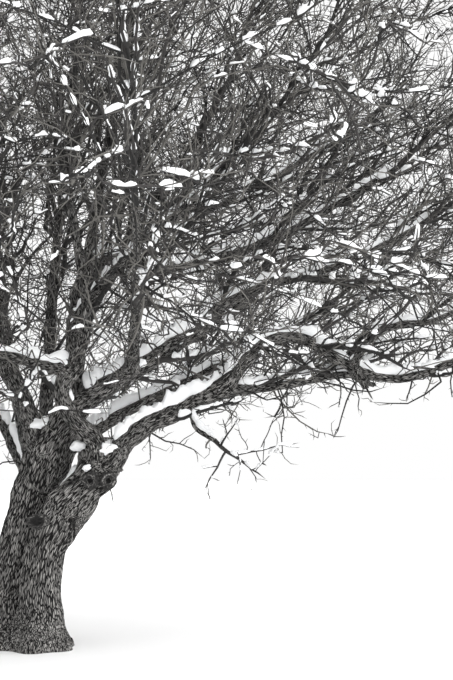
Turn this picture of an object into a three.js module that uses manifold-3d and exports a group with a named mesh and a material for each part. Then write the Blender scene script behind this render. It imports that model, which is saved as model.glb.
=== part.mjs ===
// Bare winter tree: an old fruit tree with four stems fused at the foot, low spreading boughs,
// masses of leafless twigs and caps of snow. Millimetres, +Z up. The origin is the middle of the
// flat cut at ground level, +X follows the low bough and +Y points to the back of the tree.
import * as THREE from 'three';
import { mergeVertices } from 'three/addons/utils/BufferGeometryUtils.js';
import Module from 'manifold-3d';

const wasm = await Module();
wasm.setup();

// Driving dimensions
const GAP = 0.3;
const GROUND = { width: 4000, depth: 400, stemsBelow: 200 };
const CROWN = {
  reach: 5300, top: 7700, widest: 3300,
  underside: 1250, hangsTo: 2000, underSlope: 0.5,
  lobes: [{ size: 0.04, count: 2, turn: 0.6 }, { size: 0.03, count: 5, turn: 2.1 }],
};
const FLARE = { growth: 0.7, height: 190 };
const LIMB = { sides: 6, step: 290, taper: 0.8 };
const STEM = { sides: 10, step: 190, taper: 0.9 };
const KNUCKLE = { radius: 178, sides: 10, rows: 7 };
const PRUNED = {
  radius: 60, depth: 150, sides: 9, proud: 16, apart: 142, turn: 18, aside: -40, below: 35,
};
const CORE = { foot: 300, top: 150, height: 1000, sunk: 100, sides: 10 };

// Stems: where each stands on the ground, then its heading at equal steps along it
const STEMS = [
  { name: 'right', foot: [294, -120], azimuth: [0],
    rise: [90, 91, 86, 66, 50, 37], length: 1660, root: 186, tip: 150 },
  { name: 'middle', foot: [-75, 60], azimuth: [6],
    rise: [88, 82, 74, 73, 50], length: 2150, root: 192, tip: 128 },
  { name: 'left', foot: [-350, -40], azimuth: [185],
    rise: [86, 84, 72, 56, 44], length: 1800, root: 178, tip: 128 },
  { name: 'back', foot: [40, 330], azimuth: [75],
    rise: [86, 82, 72, 60, 50], length: 1850, root: 176, tip: 126 },
];

// Boughs that show: each leaves its carrier at a share of its length, and 1 runs on from its end
const BOUGHS = [
  { name: 'low_bough', on: 'right', at: 1, azimuth: [0, 4],
    rise: [46, 56, 40, 26, 25, 29, 31], length: 1390, root: 100, tip: 74 },
  { name: 'arched_bough', on: 'low_bough', at: 1, azimuth: [-4, -2, 2, 0, -4],
    rise: [52, 48, 28, -30, -34, -20, 0, 22, 26, 24, 20], length: 2950, root: 68, tip: 27 },
  { name: 'under_bough', on: 'low_bough', at: 0.93, azimuth: [16, 8, 10, 24, 34],
    rise: [0, 8, 14, -6, 10, 20], length: 2300, root: 54, tip: 26 },
  { name: 'wavy_bough', on: 'arched_bough', at: 0.46, azimuth: [-4, -14],
    rise: [62, 48, 8, 4, 40, 42, 38], length: 1700, root: 38, tip: 22 },
  { name: 'hanging_bough', on: 'low_bough', at: 0.74, azimuth: [-70, -30],
    rise: [-76, -14], length: 480, root: 36, tip: 22 },
  { name: 'crossing_bough', on: 'right', at: 0.985, azimuth: [20, 28, 28, 10, 0],
    rise: [84, 92, 122, 134, 138, 120, 80, 64, 54], length: 1130, root: 90, tip: 72 },
  { name: 'upright_bough', on: 'crossing_bough', at: 1, azimuth: [10],
    rise: [66, 92, 102, 100, 88, 84], length: 2400, root: 60, tip: 27 },
  { name: 'elbow_bough', on: 'crossing_bough', at: 0.93, azimuth: [188, 196, 206, 212],
    rise: [14, 10, 24, 34, 30], length: 3000, root: 62, tip: 27 },
  { name: 'middle_bough', on: 'middle', at: 1, azimuth: [6, 2, 12, 26],
    rise: [42, 32, 32, 27, 40, 66], length: 2300, root: 122, tip: 42 },
  { name: 'front_bough', on: 'middle_bough', at: 0.3, azimuth: [-84, -84, -88],
    rise: [30, 14, 12, 18, 24], length: 2900, root: 62, tip: 26 },
  { name: 'spreading_bough', on: 'middle_bough', at: 0.6, azimuth: [-18, -6, 2],
    rise: [60, 22, 12, 20, 28, 34], length: 2500, root: 54, tip: 25 },
  { name: 'dark_bough', on: 'middle', at: 0.66, azimuth: [34, 20, 4, 0],
    rise: [30, 46, 76, 87, 87, 87, 90, 88, 66, 38, -38, -6], length: 2850, root: 118, tip: 64 },
  { name: 'shelf_bough', on: 'dark_bough', at: 1, azimuth: [0, -4, -14],
    rise: [8, 14, 22, 28, 30, 28], length: 2500, root: 60, tip: 26 },
  { name: 'rising_bough', on: 'dark_bough', at: 0.54, azimuth: [20, 12],
    rise: [70, 64, 54, 56, 64], length: 2400, root: 80, tip: 34 },
  { name: 'steep_bough', on: 'dark_bough', at: 0.74, azimuth: [-50, -24, 0],
    rise: [80, 78, 80, 76], length: 2350, root: 58, tip: 28 },
  { name: 'high_bough', on: 'rising_bough', at: 0.5, azimuth: [0, 14, 20],
    rise: [24, 16, 28, 34, 32], length: 2300, root: 50, tip: 25 },
  { name: 'leaning_bough', on: 'middle', at: 0.8, azimuth: [172, 178, 186],
    rise: [70, 64, 52, 42, 44], length: 3150, root: 110, tip: 34 },
  { name: 'near_bough', on: 'leaning_bough', at: 0.3, azimuth: [-92, -80, -86],
    rise: [40, 34, 44, 40], length: 2500, root: 62, tip: 27 },
  { name: 'forward_bough', on: 'dark_bough', at: 0.6, azimuth: [-56, -46, -40],
    rise: [34, 22, 26, 30], length: 2700, root: 58, tip: 26 },
  { name: 'hind_bough', on: 'back', at: 0.62, azimuth: [30, 48, 56],
    rise: [40, 36, 42, 38, 34], length: 3000, root: 92, tip: 28 },
  { name: 'far_bough', on: 'middle', at: 0.74, azimuth: [140, 112, 104],
    rise: [64, 60, 56, 52], length: 3300, root: 92, tip: 28 },
];

// Boughs of the left and back stems: each habit repeats on both
const HABITS = [
  { name: 'low', at: 1, turn: 0, rise: [42, 26, 8, 14, 22], length: 2900, root: 120, tip: 30 },
  { name: 'slant', at: 0.74, turn: 52, rise: [56, 42, 34, 38, 36], length: 3000, root: 84, tip: 28 },
  { name: 'sweep', at: 0.84, turn: -50, rise: [48, 34, 26, 32, 34], length: 2950, root: 82, tip: 28 },
  { name: 'upright', at: 0.9, turn: 10, rise: [82, 74, 68, 72], length: 3500, root: 84, tip: 30 },
];
const HABIT_STEMS = ['left', 'back'];
const DRIFT = { seed: 4107, perStem: 10, bends: 3, azimuth: 16, rise: 6 };

// Snow: the stretch of each bough that carries a cap, and how thick it lies
const SNOW = { sides: 6, step: 120, buried: 0.55, hug: 0.9, thinEnd: 0.4, blunt: 0.5 };
const SNOW_CAPS = [
  { on: 'arched_bough', from: 0.2, to: 0.46, thick: 62 },
  { on: 'middle_bough', from: 0.16, to: 0.42, thick: 58 },
  { on: 'dark_bough', from: 0.76, to: 0.97, thick: 62 },
  { on: 'elbow_bough', from: 0.08, to: 0.3, thick: 52 },
];

// Twigs: the stem of a mass, its side shoots and their spurs. A pair of values is the least and
// the most that a seeded draw gives.
const TWIGS = {
  seed: 4107,
  seedsApart: 101,
  longest: 2400,
  shortest: 600,
  shorter: 0.95,
  trials: 60,
  clear: 6,
  sway: 13,
  lift: 4,
  taper: 0.86,
  pointed: 4,
  stemSides: 4,
  shootSides: 3,
  orders: [
    { step: 450, shoots: 7, share: 0.76, angle: 66, girth: 1 },
    { step: 520, shoots: 2, share: 0.5, angle: 46, girth: 0.62 },
    { step: 700, shoots: 0, share: 0, angle: 0, girth: 0.66 },
  ],
};
const SHOOT = {
  seedFactor: 17,
  lineSeed: 7,
  place: [0.7, 1],
  bareEnd: 0.4,
  latest: 0.97,
  opening: [0.8, 1.2],
  golden: 137.5,
  turn: [0, 50],
  nearLength: 1.15,
  farLength: 0.55,
  length: [0.75, 1.25],
  trims: [1, 0.6],
};

const FINISHES = {
  bark: new THREE.MeshStandardMaterial({ color: 0x4a4745, roughness: 0.95, metalness: 0 }),
  twigs: new THREE.MeshStandardMaterial({ color: 0x3b3836, roughness: 0.9, metalness: 0 }),
  snow: new THREE.MeshStandardMaterial({ color: 0xf1f3f6, roughness: 0.7, metalness: 0 }),
};

const { clamp, degToRad, lerp } = THREE.MathUtils;
const UP = new THREE.Vector3(0, 0, 1);
const STEEP = 0.9;
const PARALLEL = 1e-9;

// Repeatable numbers from 0 to 1
function seeded(seed) {
  let state = seed >>> 0;
  return () => {
    state = (state + 0x6d2b79f5) >>> 0;
    let mixed = Math.imul(state ^ (state >>> 15), state | 1);
    mixed ^= mixed + Math.imul(mixed ^ (mixed >>> 7), mixed | 61);
    return ((mixed ^ (mixed >>> 14)) >>> 0) / 2 ** 32;
  };
}

function draw(random, [least, most]) {
  return lerp(least, most, random());
}

// Directions
function heading(azimuth, rise) {
  const flat = Math.cos(degToRad(rise));
  const turn = degToRad(azimuth);
  return new THREE.Vector3(flat * Math.cos(turn), flat * Math.sin(turn), Math.sin(degToRad(rise)));
}

function along(keys, share) {
  const place = share * (keys.length - 1);
  const first = clamp(Math.floor(place), 0, Math.max(0, keys.length - 2));
  return lerp(keys[first], keys[first + 1] ?? keys[first], place - first);
}

function squareTo(direction) {
  const helper = Math.abs(direction.z) > STEEP ? new THREE.Vector3(1, 0, 0) : UP;
  return new THREE.Vector3().crossVectors(direction, helper).normalize();
}

// A limb's line: points and radii from its headings, length and girth
function limbLine({ start, azimuth, rise, length, root, tip }, { step, taper }) {
  const steps = Math.max(2, Math.round(length / step));
  const line = [{ at: start.clone(), radius: root }];
  for (let i = 1; i <= steps; i += 1) {
    const share = (i - 0.5) / steps;
    const stride = heading(along(azimuth, share), along(rise, share)).multiplyScalar(length / steps);
    const radius = lerp(root, tip, (i / steps) ** taper);
    line.push({ at: line[i - 1].at.clone().add(stride), radius });
  }
  return line;
}

function lineAt(line, share) {
  const place = share * (line.length - 1);
  const first = Math.min(Math.floor(place), line.length - 2);
  const from = line[first];
  const to = line[first + 1];
  return {
    at: from.at.clone().lerp(to.at, place - first),
    radius: lerp(from.radius, to.radius, place - first),
    direction: to.at.clone().sub(from.at).normalize(),
  };
}

function endDirection(line) {
  return lineAt(line, 1).direction;
}

// Each ring's plane faces halfway between the stretches that meet there
function ringDirections(line, facing) {
  return line.map((ring, i) => {
    const before = i > 0 ? ring.at.clone().sub(line[i - 1].at).normalize() : null;
    const after = i < line.length - 1 ? line[i + 1].at.clone().sub(ring.at).normalize() : null;
    if (!before) return facing ?? after;
    return after ? before.add(after).normalize() : before;
  });
}

// A closed tube: a cylinder whose rings are moved on to the line
function tubeGeometry(line, sides, { facing = null, extra = 0, pointed = false } = {}) {
  const rows = line.length - 1;
  const geometry = new THREE.CylinderGeometry(pointed ? 0 : 1, 1, 1, sides, rows);
  const directions = ringDirections(line, facing);
  const frames = [];
  let side = squareTo(directions[0]);
  for (const direction of directions) {
    side = side.clone().addScaledVector(direction, -side.dot(direction)).normalize();
    frames.push({ side, across: new THREE.Vector3().crossVectors(side, direction) });
  }
  const places = geometry.attributes.position;
  for (let i = 0; i < places.count; i += 1) {
    const row = Math.round((places.getY(i) + 0.5) * rows);
    const fromAxis = Math.hypot(places.getX(i), places.getZ(i));
    const growth = fromAxis > 0 ? (line[row].radius + extra) / fromAxis : 0;
    const past = (row === rows ? extra : 0) - (row === 0 ? extra : 0);
    const moved = line[row].at.clone()
      .addScaledVector(directions[row], past)
      .addScaledVector(frames[row].side, places.getX(i) * growth)
      .addScaledVector(frames[row].across, places.getZ(i) * growth);
    places.setXYZ(i, moved.x, moved.y, moved.z);
  }
  return geometry;
}

// Solids
function solidOf(geometry) {
  const bare = geometry.clone();
  bare.deleteAttribute('normal');
  bare.deleteAttribute('uv');
  const merged = mergeVertices(bare);
  return new wasm.Manifold(new wasm.Mesh({
    numProp: 3,
    vertProperties: new Float32Array(merged.attributes.position.array),
    triVerts: new Uint32Array(merged.index.array),
  }));
}

function tube(line, sides, options) {
  return solidOf(tubeGeometry(line, sides, options));
}

function joined(solids) {
  return solids.reduce((whole, solid) => whole.add(solid));
}

// What is left of a solid outside the room that its neighbours take, without loose scraps
function cutClear(solid, rooms) {
  const left = rooms.reduce((rest, room) => rest.subtract(room), solid);
  return left.decompose().reduce((best, body) => (body.volume() > best.volume() ? body : best));
}

function meshOf(name, solid, finish) {
  const { vertProperties, triVerts, numProp } = solid.getMesh();
  const geometry = new THREE.BufferGeometry();
  const places = new Float32Array((vertProperties.length / numProp) * 3);
  for (let i = 0; i < places.length / 3; i += 1) {
    for (let axis = 0; axis < 3; axis += 1) places[i * 3 + axis] = vertProperties[i * numProp + axis];
  }
  geometry.setAttribute('position', new THREE.BufferAttribute(places, 3));
  geometry.setIndex(new THREE.BufferAttribute(new Uint32Array(triVerts), 1));
  geometry.computeVertexNormals();
  const mesh = new THREE.Mesh(geometry, FINISHES[finish].clone());
  mesh.name = name;
  return mesh;
}

// Least distance between two straight stretches
function stretchGap(a, b, c, d) {
  const first = b.clone().sub(a);
  const second = d.clone().sub(c);
  const offset = a.clone().sub(c);
  const firstSq = first.lengthSq();
  const secondSq = second.lengthSq();
  const dot = first.dot(second);
  const onFirst = first.dot(offset);
  const onSecond = second.dot(offset);
  const spread = firstSq * secondSq - dot * dot;
  let s = spread > PARALLEL ? clamp((dot * onSecond - onFirst * secondSq) / spread, 0, 1) : 0;
  const t = clamp((dot * s + onSecond) / secondSq, 0, 1);
  s = clamp((dot * t - onFirst) / firstSq, 0, 1);
  return a.clone().addScaledVector(first, s).distanceTo(c.clone().addScaledVector(second, t));
}

function stretchesOf(line) {
  return line.slice(1).map((ring, i) => ({
    from: line[i].at, to: ring.at, radius: Math.max(line[i].radius, ring.radius),
  }));
}

function touches(line, obstacles, clear) {
  return stretchesOf(line).some((own) => obstacles.some((other) => (
    stretchGap(own.from, own.to, other.from, other.to) < own.radius + other.radius + clear
  )));
}

// The crown's outline
function crownReach(azimuth) {
  return CROWN.lobes.reduce(
    (reach, lobe) => reach * (1 + lobe.size * Math.sin(lobe.count * azimuth + lobe.turn)),
    CROWN.reach,
  );
}

function insideCrown(point) {
  const out = Math.hypot(point.x, point.y);
  const low = CROWN.underside + Math.max(0, out - CROWN.hangsTo) * CROWN.underSlope;
  const up = Math.max(0, point.z - CROWN.widest) / (CROWN.top - CROWN.widest);
  const reach = crownReach(Math.atan2(point.y, point.x));
  return point.z >= low && (out / reach) ** 2 + up ** 2 <= 1;
}

// The trunk: four stems fused at the foot, cut flat at the ground
function stemLine({ foot, ...shape }) {
  const line = limbLine({ ...shape, start: new THREE.Vector3(...foot, 0) }, STEM);
  for (const ring of line) ring.radius *= 1 + FLARE.growth * Math.exp(-ring.at.z / FLARE.height);
  const { at, radius } = line[0];
  return [{ at: at.clone().addScaledVector(UP, -GROUND.stemsBelow), radius }, ...line];
}

function sphere(at, { radius, sides, rows }, extra) {
  return solidOf(new THREE.SphereGeometry(radius + extra, sides, rows).translate(...at));
}

// A pruned limb's stub: a short round end that stands out of the knuckle towards the front
function prunedEnd(centre, side, extra) {
  const facing = heading(side * PRUNED.turn - 90, 0);
  const outer = centre.clone().addScaledVector(facing, KNUCKLE.radius + PRUNED.proud + extra);
  const inner = outer.clone().addScaledVector(facing, -PRUNED.depth);
  const ends = [{ at: inner, radius: PRUNED.radius }, { at: outer, radius: PRUNED.radius }];
  return tube(ends, PRUNED.sides, { extra });
}

function trunkSolid(stems, extra) {
  const knuckle = lineAt(stems.right, 1).at;
  const core = new THREE.CylinderGeometry(CORE.top, CORE.foot, CORE.height, CORE.sides)
    .rotateX(Math.PI / 2).translate(0, 0, CORE.height / 2 - CORE.sunk);
  const ground = new THREE.BoxGeometry(GROUND.width, GROUND.width, GROUND.depth)
    .translate(0, 0, -GROUND.depth / 2);
  const prunedEnds = [-1, 1].map((side) => {
    const offset = new THREE.Vector3(side * PRUNED.apart / 2 + PRUNED.aside, 0, -PRUNED.below);
    return prunedEnd(knuckle.clone().add(offset), side, extra);
  });
  const stemSolids = Object.values(stems).map((line) => tube(line, STEM.sides, { extra }));
  const whole = joined([...stemSolids, solidOf(core), sphere(knuckle, KNUCKLE, extra), ...prunedEnds]);
  return whole.subtract(solidOf(ground));
}

// Boughs
function habitBoughs() {
  return HABIT_STEMS.flatMap((stem, row) => HABITS.map((habit, k) => {
    const random = seeded(DRIFT.seed + row * DRIFT.perStem + k);
    const drift = (most) => draw(random, [-most, most]);
    const outward = STEMS.find(({ name }) => name === stem).azimuth[0] + habit.turn;
    const azimuth = Array.from({ length: DRIFT.bends }, () => outward + drift(DRIFT.azimuth));
    const rise = habit.rise.map((angle) => angle + drift(DRIFT.rise));
    return { ...habit, name: `${stem}_${habit.name}_bough`, on: stem, azimuth, rise };
  }));
}

function boughLine(bough, carrier) {
  const joint = lineAt(carrier, bough.at);
  const start = bough.at === 1 ? joint.at.addScaledVector(joint.direction, GAP) : joint.at;
  return limbLine({ ...bough, start }, LIMB);
}

function growBoughs(stems) {
  const lines = { ...stems };
  const boughs = [...BOUGHS, ...habitBoughs()];
  for (const bough of boughs) lines[bough.name] = boughLine(bough, lines[bough.on]);
  return { boughs, lines };
}

function boughSolid(bough, lines, extra = 0) {
  const facing = bough.at === 1 ? endDirection(lines[bough.on]) : null;
  return tube(lines[bough.name], LIMB.sides, { facing, extra });
}

// Masses of twigs: one stem from the end of a bough, branching by rule
function twigLine({ start, direction, length, radius }, order, random) {
  const { step } = TWIGS.orders[order];
  const steps = Math.max(1, Math.round(length / step));
  const line = [{ at: start.clone(), radius }];
  let aim = direction.clone();
  for (let i = 1; i <= steps; i += 1) {
    const side = squareTo(aim);
    const turn = random() * 2 * Math.PI;
    const sway = degToRad(TWIGS.sway) * random();
    aim = aim.applyAxisAngle(side, sway * Math.cos(turn)).applyAxisAngle(UP, sway * Math.sin(turn));
    aim.z += Math.sin(degToRad(TWIGS.lift));
    aim.normalize();
    const share = i / steps;
    const thin = i === steps ? TWIGS.pointed : radius * (1 - share * TWIGS.taper);
    line.push({ at: line[i - 1].at.clone().addScaledVector(aim, length / steps), radius: thin });
  }
  return line;
}

function shootDirection(direction, angle, turn) {
  return direction.clone()
    .applyAxisAngle(squareTo(direction), degToRad(angle))
    .applyAxisAngle(direction, degToRad(turn));
}

function growShoots(parent, length, order, seed, fits) {
  const { shoots, share, angle } = TWIGS.orders[order];
  const grown = [];
  for (let k = 0; k < shoots; k += 1) {
    const shootSeed = seed * SHOOT.seedFactor + k + 1;
    const random = seeded(shootSeed);
    const place = (k + draw(random, SHOOT.place)) / (shoots + SHOOT.bareEnd);
    const joint = lineAt(parent, Math.min(place, SHOOT.latest));
    const opening = angle * draw(random, SHOOT.opening);
    const turn = k * SHOOT.golden + draw(random, SHOOT.turn);
    const direction = shootDirection(joint.direction, opening, turn);
    const radius = joint.radius * TWIGS.orders[order + 1].girth;
    const tallness = lerp(SHOOT.nearLength, SHOOT.farLength, place) * draw(random, SHOOT.length);
    const fitting = SHOOT.trims.map((trim) => {
      const shoot = { start: joint.at, direction, radius, length: length * share * tallness * trim };
      const line = twigLine(shoot, order + 1, seeded(shootSeed + SHOOT.lineSeed));
      return { line, length: shoot.length };
    }).find(({ line }) => fits(line));
    if (fitting) {
      grown.push(fitting, ...growShoots(fitting.line, fitting.length, order + 1, shootSeed, fits));
    }
  }
  return grown;
}

function stemFrom(line, seed) {
  const end = line[line.length - 1];
  const direction = endDirection(line);
  const start = end.at.clone().addScaledVector(direction, GAP);
  for (let length = TWIGS.longest; length > TWIGS.shortest; length *= TWIGS.shorter) {
    const stem = twigLine({ start, direction, length, radius: end.radius }, 0, seeded(seed));
    if (stem.every(({ at }) => insideCrown(at))) return { stem, length };
  }
  return null;
}

// The first of the seeds whose stem stays in the crown and clear of the limbs
function startMass(bough, line, seed, obstacles) {
  for (let trial = 0; trial < TWIGS.trials; trial += 1) {
    const found = stemFrom(line, seed + trial);
    if (found && !touches(found.stem, obstacles, TWIGS.clear)) {
      return {
        name: bough.name.replace('_bough', '_twigs'),
        line: found.stem,
        length: found.length,
        seed: seed + trial,
        facing: endDirection(line),
      };
    }
  }
  throw new Error(`no clear stem for the twigs of ${bough.name}`);
}

function startMasses(boughs, lines, snow) {
  const carriers = new Set(boughs.filter(({ at }) => at === 1).map(({ on }) => on));
  const masses = [];
  boughs.filter(({ name }) => !carriers.has(name)).forEach((bough, k) => {
    const limbs = Object.keys(lines).filter((name) => name !== bough.name).map((name) => lines[name]);
    const obstacles = [...limbs, ...snow, ...masses.map(({ line }) => line)].flatMap(stretchesOf);
    masses.push(startMass(bough, lines[bough.name], TWIGS.seed + TWIGS.seedsApart * k, obstacles));
  });
  return masses;
}

function ownSpace(mass, masses) {
  const centre = lineAt(mass.line, 0.5).at;
  const others = masses.filter((other) => other !== mass).map((other) => lineAt(other.line, 0.5).at);
  const walls = others.map((other) => ({
    middle: centre.clone().lerp(other, 0.5),
    towards: other.clone().sub(centre).normalize(),
  }));
  return (line) => line.every(({ at, radius }) => walls.every(({ middle, towards }) => (
    at.clone().sub(middle).dot(towards) < -radius - TWIGS.clear
  )));
}

function growMass(mass, masses, obstacles) {
  const inSpace = ownSpace(mass, masses);
  const fits = (line) => (
    line.every(({ at }) => insideCrown(at)) && inSpace(line) && !touches(line, obstacles, TWIGS.clear)
  );
  return growShoots(mass.line, mass.length, 0, mass.seed, fits);
}

function massSolid(mass, shoots) {
  const stem = tube(mass.line, TWIGS.stemSides, { facing: mass.facing });
  return joined([stem, ...shoots.map(({ line }) => tube(line, TWIGS.shootSides, { pointed: true }))]);
}

// Snow: a rounded cap along the top of a bough
function snowLine(cap, line) {
  const length = (cap.to - cap.from) * (line.length - 1) * LIMB.step;
  const steps = Math.round(length / SNOW.step);
  return Array.from({ length: steps + 1 }, (_, i) => {
    const share = i / steps;
    const { at, radius } = lineAt(line, lerp(cap.from, cap.to, share));
    const fullness = Math.sin(Math.PI * share) ** SNOW.blunt;
    const thick = cap.thick * fullness;
    const seat = SNOW.hug * radius * lerp(SNOW.thinEnd, 1, fullness);
    const round = (thick + seat) / 2;
    const sunk = SNOW.buried * radius * (1 - fullness);
    return { at: at.addScaledVector(UP, radius + thick - round - sunk), radius: round };
  });
}

// The whole tree
const stemLines = Object.fromEntries(STEMS.map((stem) => [stem.name, stemLine(stem)]));
const { boughs, lines } = growBoughs(stemLines);
const tree = new THREE.Group();
tree.add(meshOf('trunk', trunkSolid(stemLines, 0), 'bark'));

const trunkRoom = trunkSolid(stemLines, GAP);
const rooms = Object.fromEntries(boughs.map((bough) => [bough.name, boughSolid(bough, lines, GAP)]));
boughs.forEach((bough, k) => {
  const earlier = boughs.slice(0, k).filter(({ name }) => bough.at < 1 || name !== bough.on);
  const around = [trunkRoom, ...earlier.map(({ name }) => rooms[name])];
  tree.add(meshOf(bough.name, cutClear(boughSolid(bough, lines), around), 'bark'));
});

const snowLines = SNOW_CAPS.map((cap) => snowLine(cap, lines[cap.on]));
SNOW_CAPS.forEach((cap, k) => {
  const heap = cutClear(tube(snowLines[k], SNOW.sides), [trunkRoom, ...Object.values(rooms)]);
  tree.add(meshOf(cap.on.replace('_bough', '_snow'), heap, 'snow'));
});

const masses = startMasses(boughs, lines, snowLines);
for (const mass of masses) {
  const others = masses.filter((other) => other !== mass).map(({ line }) => line);
  const obstacles = [...Object.values(lines), ...snowLines, ...others].flatMap(stretchesOf);
  tree.add(meshOf(mass.name, massSolid(mass, growMass(mass, masses, obstacles)), 'twigs'));
}

export default tree;
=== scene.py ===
"""An old fruit tree in winter, leafless and with snow on its limbs, dressed round its CAD frame.

The trunk and the boughs get furrowed bark, each mass of twigs is grown again by the rule that made
its solid and carried on to finer twigs, and settled snow lies along the limbs and in the forks.
Lengths are millimetres until a mesh is made, which is in metres.
"""
import contextlib
import functools
import math
from collections import namedtuple
from itertools import product

import bpy
import numpy as np
from bpy.props import FloatProperty, FloatVectorProperty, PointerProperty
from bpy.types import Operator, Panel, PropertyGroup
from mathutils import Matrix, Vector, kdtree


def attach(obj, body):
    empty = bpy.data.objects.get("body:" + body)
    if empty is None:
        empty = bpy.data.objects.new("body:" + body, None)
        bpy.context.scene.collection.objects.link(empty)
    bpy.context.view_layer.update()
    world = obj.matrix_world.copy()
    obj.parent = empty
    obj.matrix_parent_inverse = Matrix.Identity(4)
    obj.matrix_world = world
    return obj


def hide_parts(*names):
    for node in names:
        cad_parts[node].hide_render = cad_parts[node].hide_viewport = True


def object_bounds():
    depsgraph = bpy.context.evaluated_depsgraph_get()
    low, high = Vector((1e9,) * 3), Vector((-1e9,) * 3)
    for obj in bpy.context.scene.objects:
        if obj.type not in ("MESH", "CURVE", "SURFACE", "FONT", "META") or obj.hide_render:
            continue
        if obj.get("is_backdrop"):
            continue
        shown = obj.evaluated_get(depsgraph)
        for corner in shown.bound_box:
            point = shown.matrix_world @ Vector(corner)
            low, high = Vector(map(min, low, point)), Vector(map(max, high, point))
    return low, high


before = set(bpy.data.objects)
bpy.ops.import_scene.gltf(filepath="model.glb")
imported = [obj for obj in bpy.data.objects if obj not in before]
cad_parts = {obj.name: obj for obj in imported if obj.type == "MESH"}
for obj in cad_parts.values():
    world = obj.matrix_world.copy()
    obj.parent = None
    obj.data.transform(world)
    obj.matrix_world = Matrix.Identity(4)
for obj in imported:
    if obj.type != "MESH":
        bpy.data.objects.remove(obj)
CAD_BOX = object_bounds()

bl_info = {
    "name": "Bare Winter Tree",
    "version": (1, 0, 0),
    "blender": (4, 5, 0),
    "location": "3D View > Sidebar > Winter Tree",
    "description": "Furrowed bark, fine twigs and settled snow for a bare old fruit tree",
    "category": "Object",
}

MM = 0.001
UP = np.array((0.0, 0.0, 1.0))

# The crown's outline, the same as the solids'
CROWN_REACH = 5300
CROWN_TOP = 7700
CROWN_WIDEST = 3300
UNDERSIDE = 1250
HANGS_TO = 2000
UNDER_SLOPE = 0.5
Lobe = namedtuple("Lobe", "size count turn")
LOBES = (Lobe(0.04, 2, 0.6), Lobe(0.03, 5, 2.1))

# The stems and boughs, the same as the solids': headings in degrees at equal steps along each
GAP = 0.3  # between a limb and the one that carries on from its end
LIMB_STEP = 290
LIMB_TAPER = 0.8
STEM_STEP = 190
STEM_TAPER = 0.9
FLARE_GROWTH = 0.7
FLARE_HEIGHT = 190
BELOW_GROUND = 200
Stem = namedtuple("Stem", "name foot azimuth rise length root tip")
STEMS = (
    Stem("right", (294, -120), (0,), (90, 91, 86, 66, 50, 37), 1660, 186, 150),
    Stem("middle", (-75, 60), (6,), (88, 82, 74, 73, 50), 2150, 192, 128),
    Stem("left", (-350, -40), (185,), (86, 84, 72, 56, 44), 1800, 178, 128),
    Stem("back", (40, 330), (75,), (86, 82, 72, 60, 50), 1850, 176, 126),
)
Bough = namedtuple("Bough", "name on at azimuth rise length root tip")
BOUGHS = (
    Bough("low_bough", "right", 1, (0, 4), (46, 56, 40, 26, 25, 29, 31), 1390, 100, 74),
    Bough("arched_bough", "low_bough", 1, (-4, -2, 2, 0, -4),
          (52, 48, 28, -30, -34, -20, 0, 22, 26, 24, 20), 2950, 68, 27),
    Bough("under_bough", "low_bough", 0.93, (16, 8, 10, 24, 34), (0, 8, 14, -6, 10, 20), 2300, 54, 26),
    Bough("wavy_bough", "arched_bough", 0.46, (-4, -14), (62, 48, 8, 4, 40, 42, 38), 1700, 38, 22),
    Bough("hanging_bough", "low_bough", 0.74, (-70, -30), (-76, -14), 480, 36, 22),
    Bough("crossing_bough", "right", 0.985, (20, 28, 28, 10, 0),
          (84, 92, 122, 134, 138, 120, 80, 64, 54), 1130, 90, 72),
    Bough("upright_bough", "crossing_bough", 1, (10,), (66, 92, 102, 100, 88, 84), 2400, 60, 27),
    Bough("elbow_bough", "crossing_bough", 0.93, (188, 196, 206, 212),
          (14, 10, 24, 34, 30), 3000, 62, 27),
    Bough("middle_bough", "middle", 1, (6, 2, 12, 26), (42, 32, 32, 27, 40, 66), 2300, 122, 42),
    Bough("front_bough", "middle_bough", 0.3, (-84, -84, -88), (30, 14, 12, 18, 24), 2900, 62, 26),
    Bough("spreading_bough", "middle_bough", 0.6, (-18, -6, 2), (60, 22, 12, 20, 28, 34), 2500, 54, 25),
    Bough("dark_bough", "middle", 0.66, (34, 20, 4, 0),
          (30, 46, 76, 87, 87, 87, 90, 88, 66, 38, -38, -6), 2850, 118, 64),
    Bough("shelf_bough", "dark_bough", 1, (0, -4, -14), (8, 14, 22, 28, 30, 28), 2500, 60, 26),
    Bough("rising_bough", "dark_bough", 0.54, (20, 12), (70, 64, 54, 56, 64), 2400, 80, 34),
    Bough("steep_bough", "dark_bough", 0.74, (-50, -24, 0), (80, 78, 80, 76), 2350, 58, 28),
    Bough("high_bough", "rising_bough", 0.5, (0, 14, 20), (24, 16, 28, 34, 32), 2300, 50, 25),
    Bough("leaning_bough", "middle", 0.8, (172, 178, 186), (70, 64, 52, 42, 44), 3150, 110, 34),
    Bough("near_bough", "leaning_bough", 0.3, (-92, -80, -86), (40, 34, 44, 40), 2500, 62, 27),
    Bough("forward_bough", "dark_bough", 0.6, (-56, -46, -40), (34, 22, 26, 30), 2700, 58, 26),
    Bough("hind_bough", "back", 0.62, (30, 48, 56), (40, 36, 42, 38, 34), 3000, 92, 28),
    Bough("far_bough", "middle", 0.74, (140, 112, 104), (64, 60, 56, 52), 3300, 92, 28),
)
Habit = namedtuple("Habit", "name at turn rise length root tip")
HABITS = (
    Habit("low", 1, 0, (42, 26, 8, 14, 22), 2900, 120, 30),
    Habit("slant", 0.74, 52, (56, 42, 34, 38, 36), 3000, 84, 28),
    Habit("sweep", 0.84, -50, (48, 34, 26, 32, 34), 2950, 82, 28),
    Habit("upright", 0.9, 10, (82, 74, 68, 72), 3500, 84, 30),
)
HABIT_STEMS = ("left", "back")
DRIFT_SEED = 4107
DRIFT_PER_STEM = 10
DRIFT_BENDS = 3
DRIFT_AZIMUTH = 16
DRIFT_RISE = 6

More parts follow.
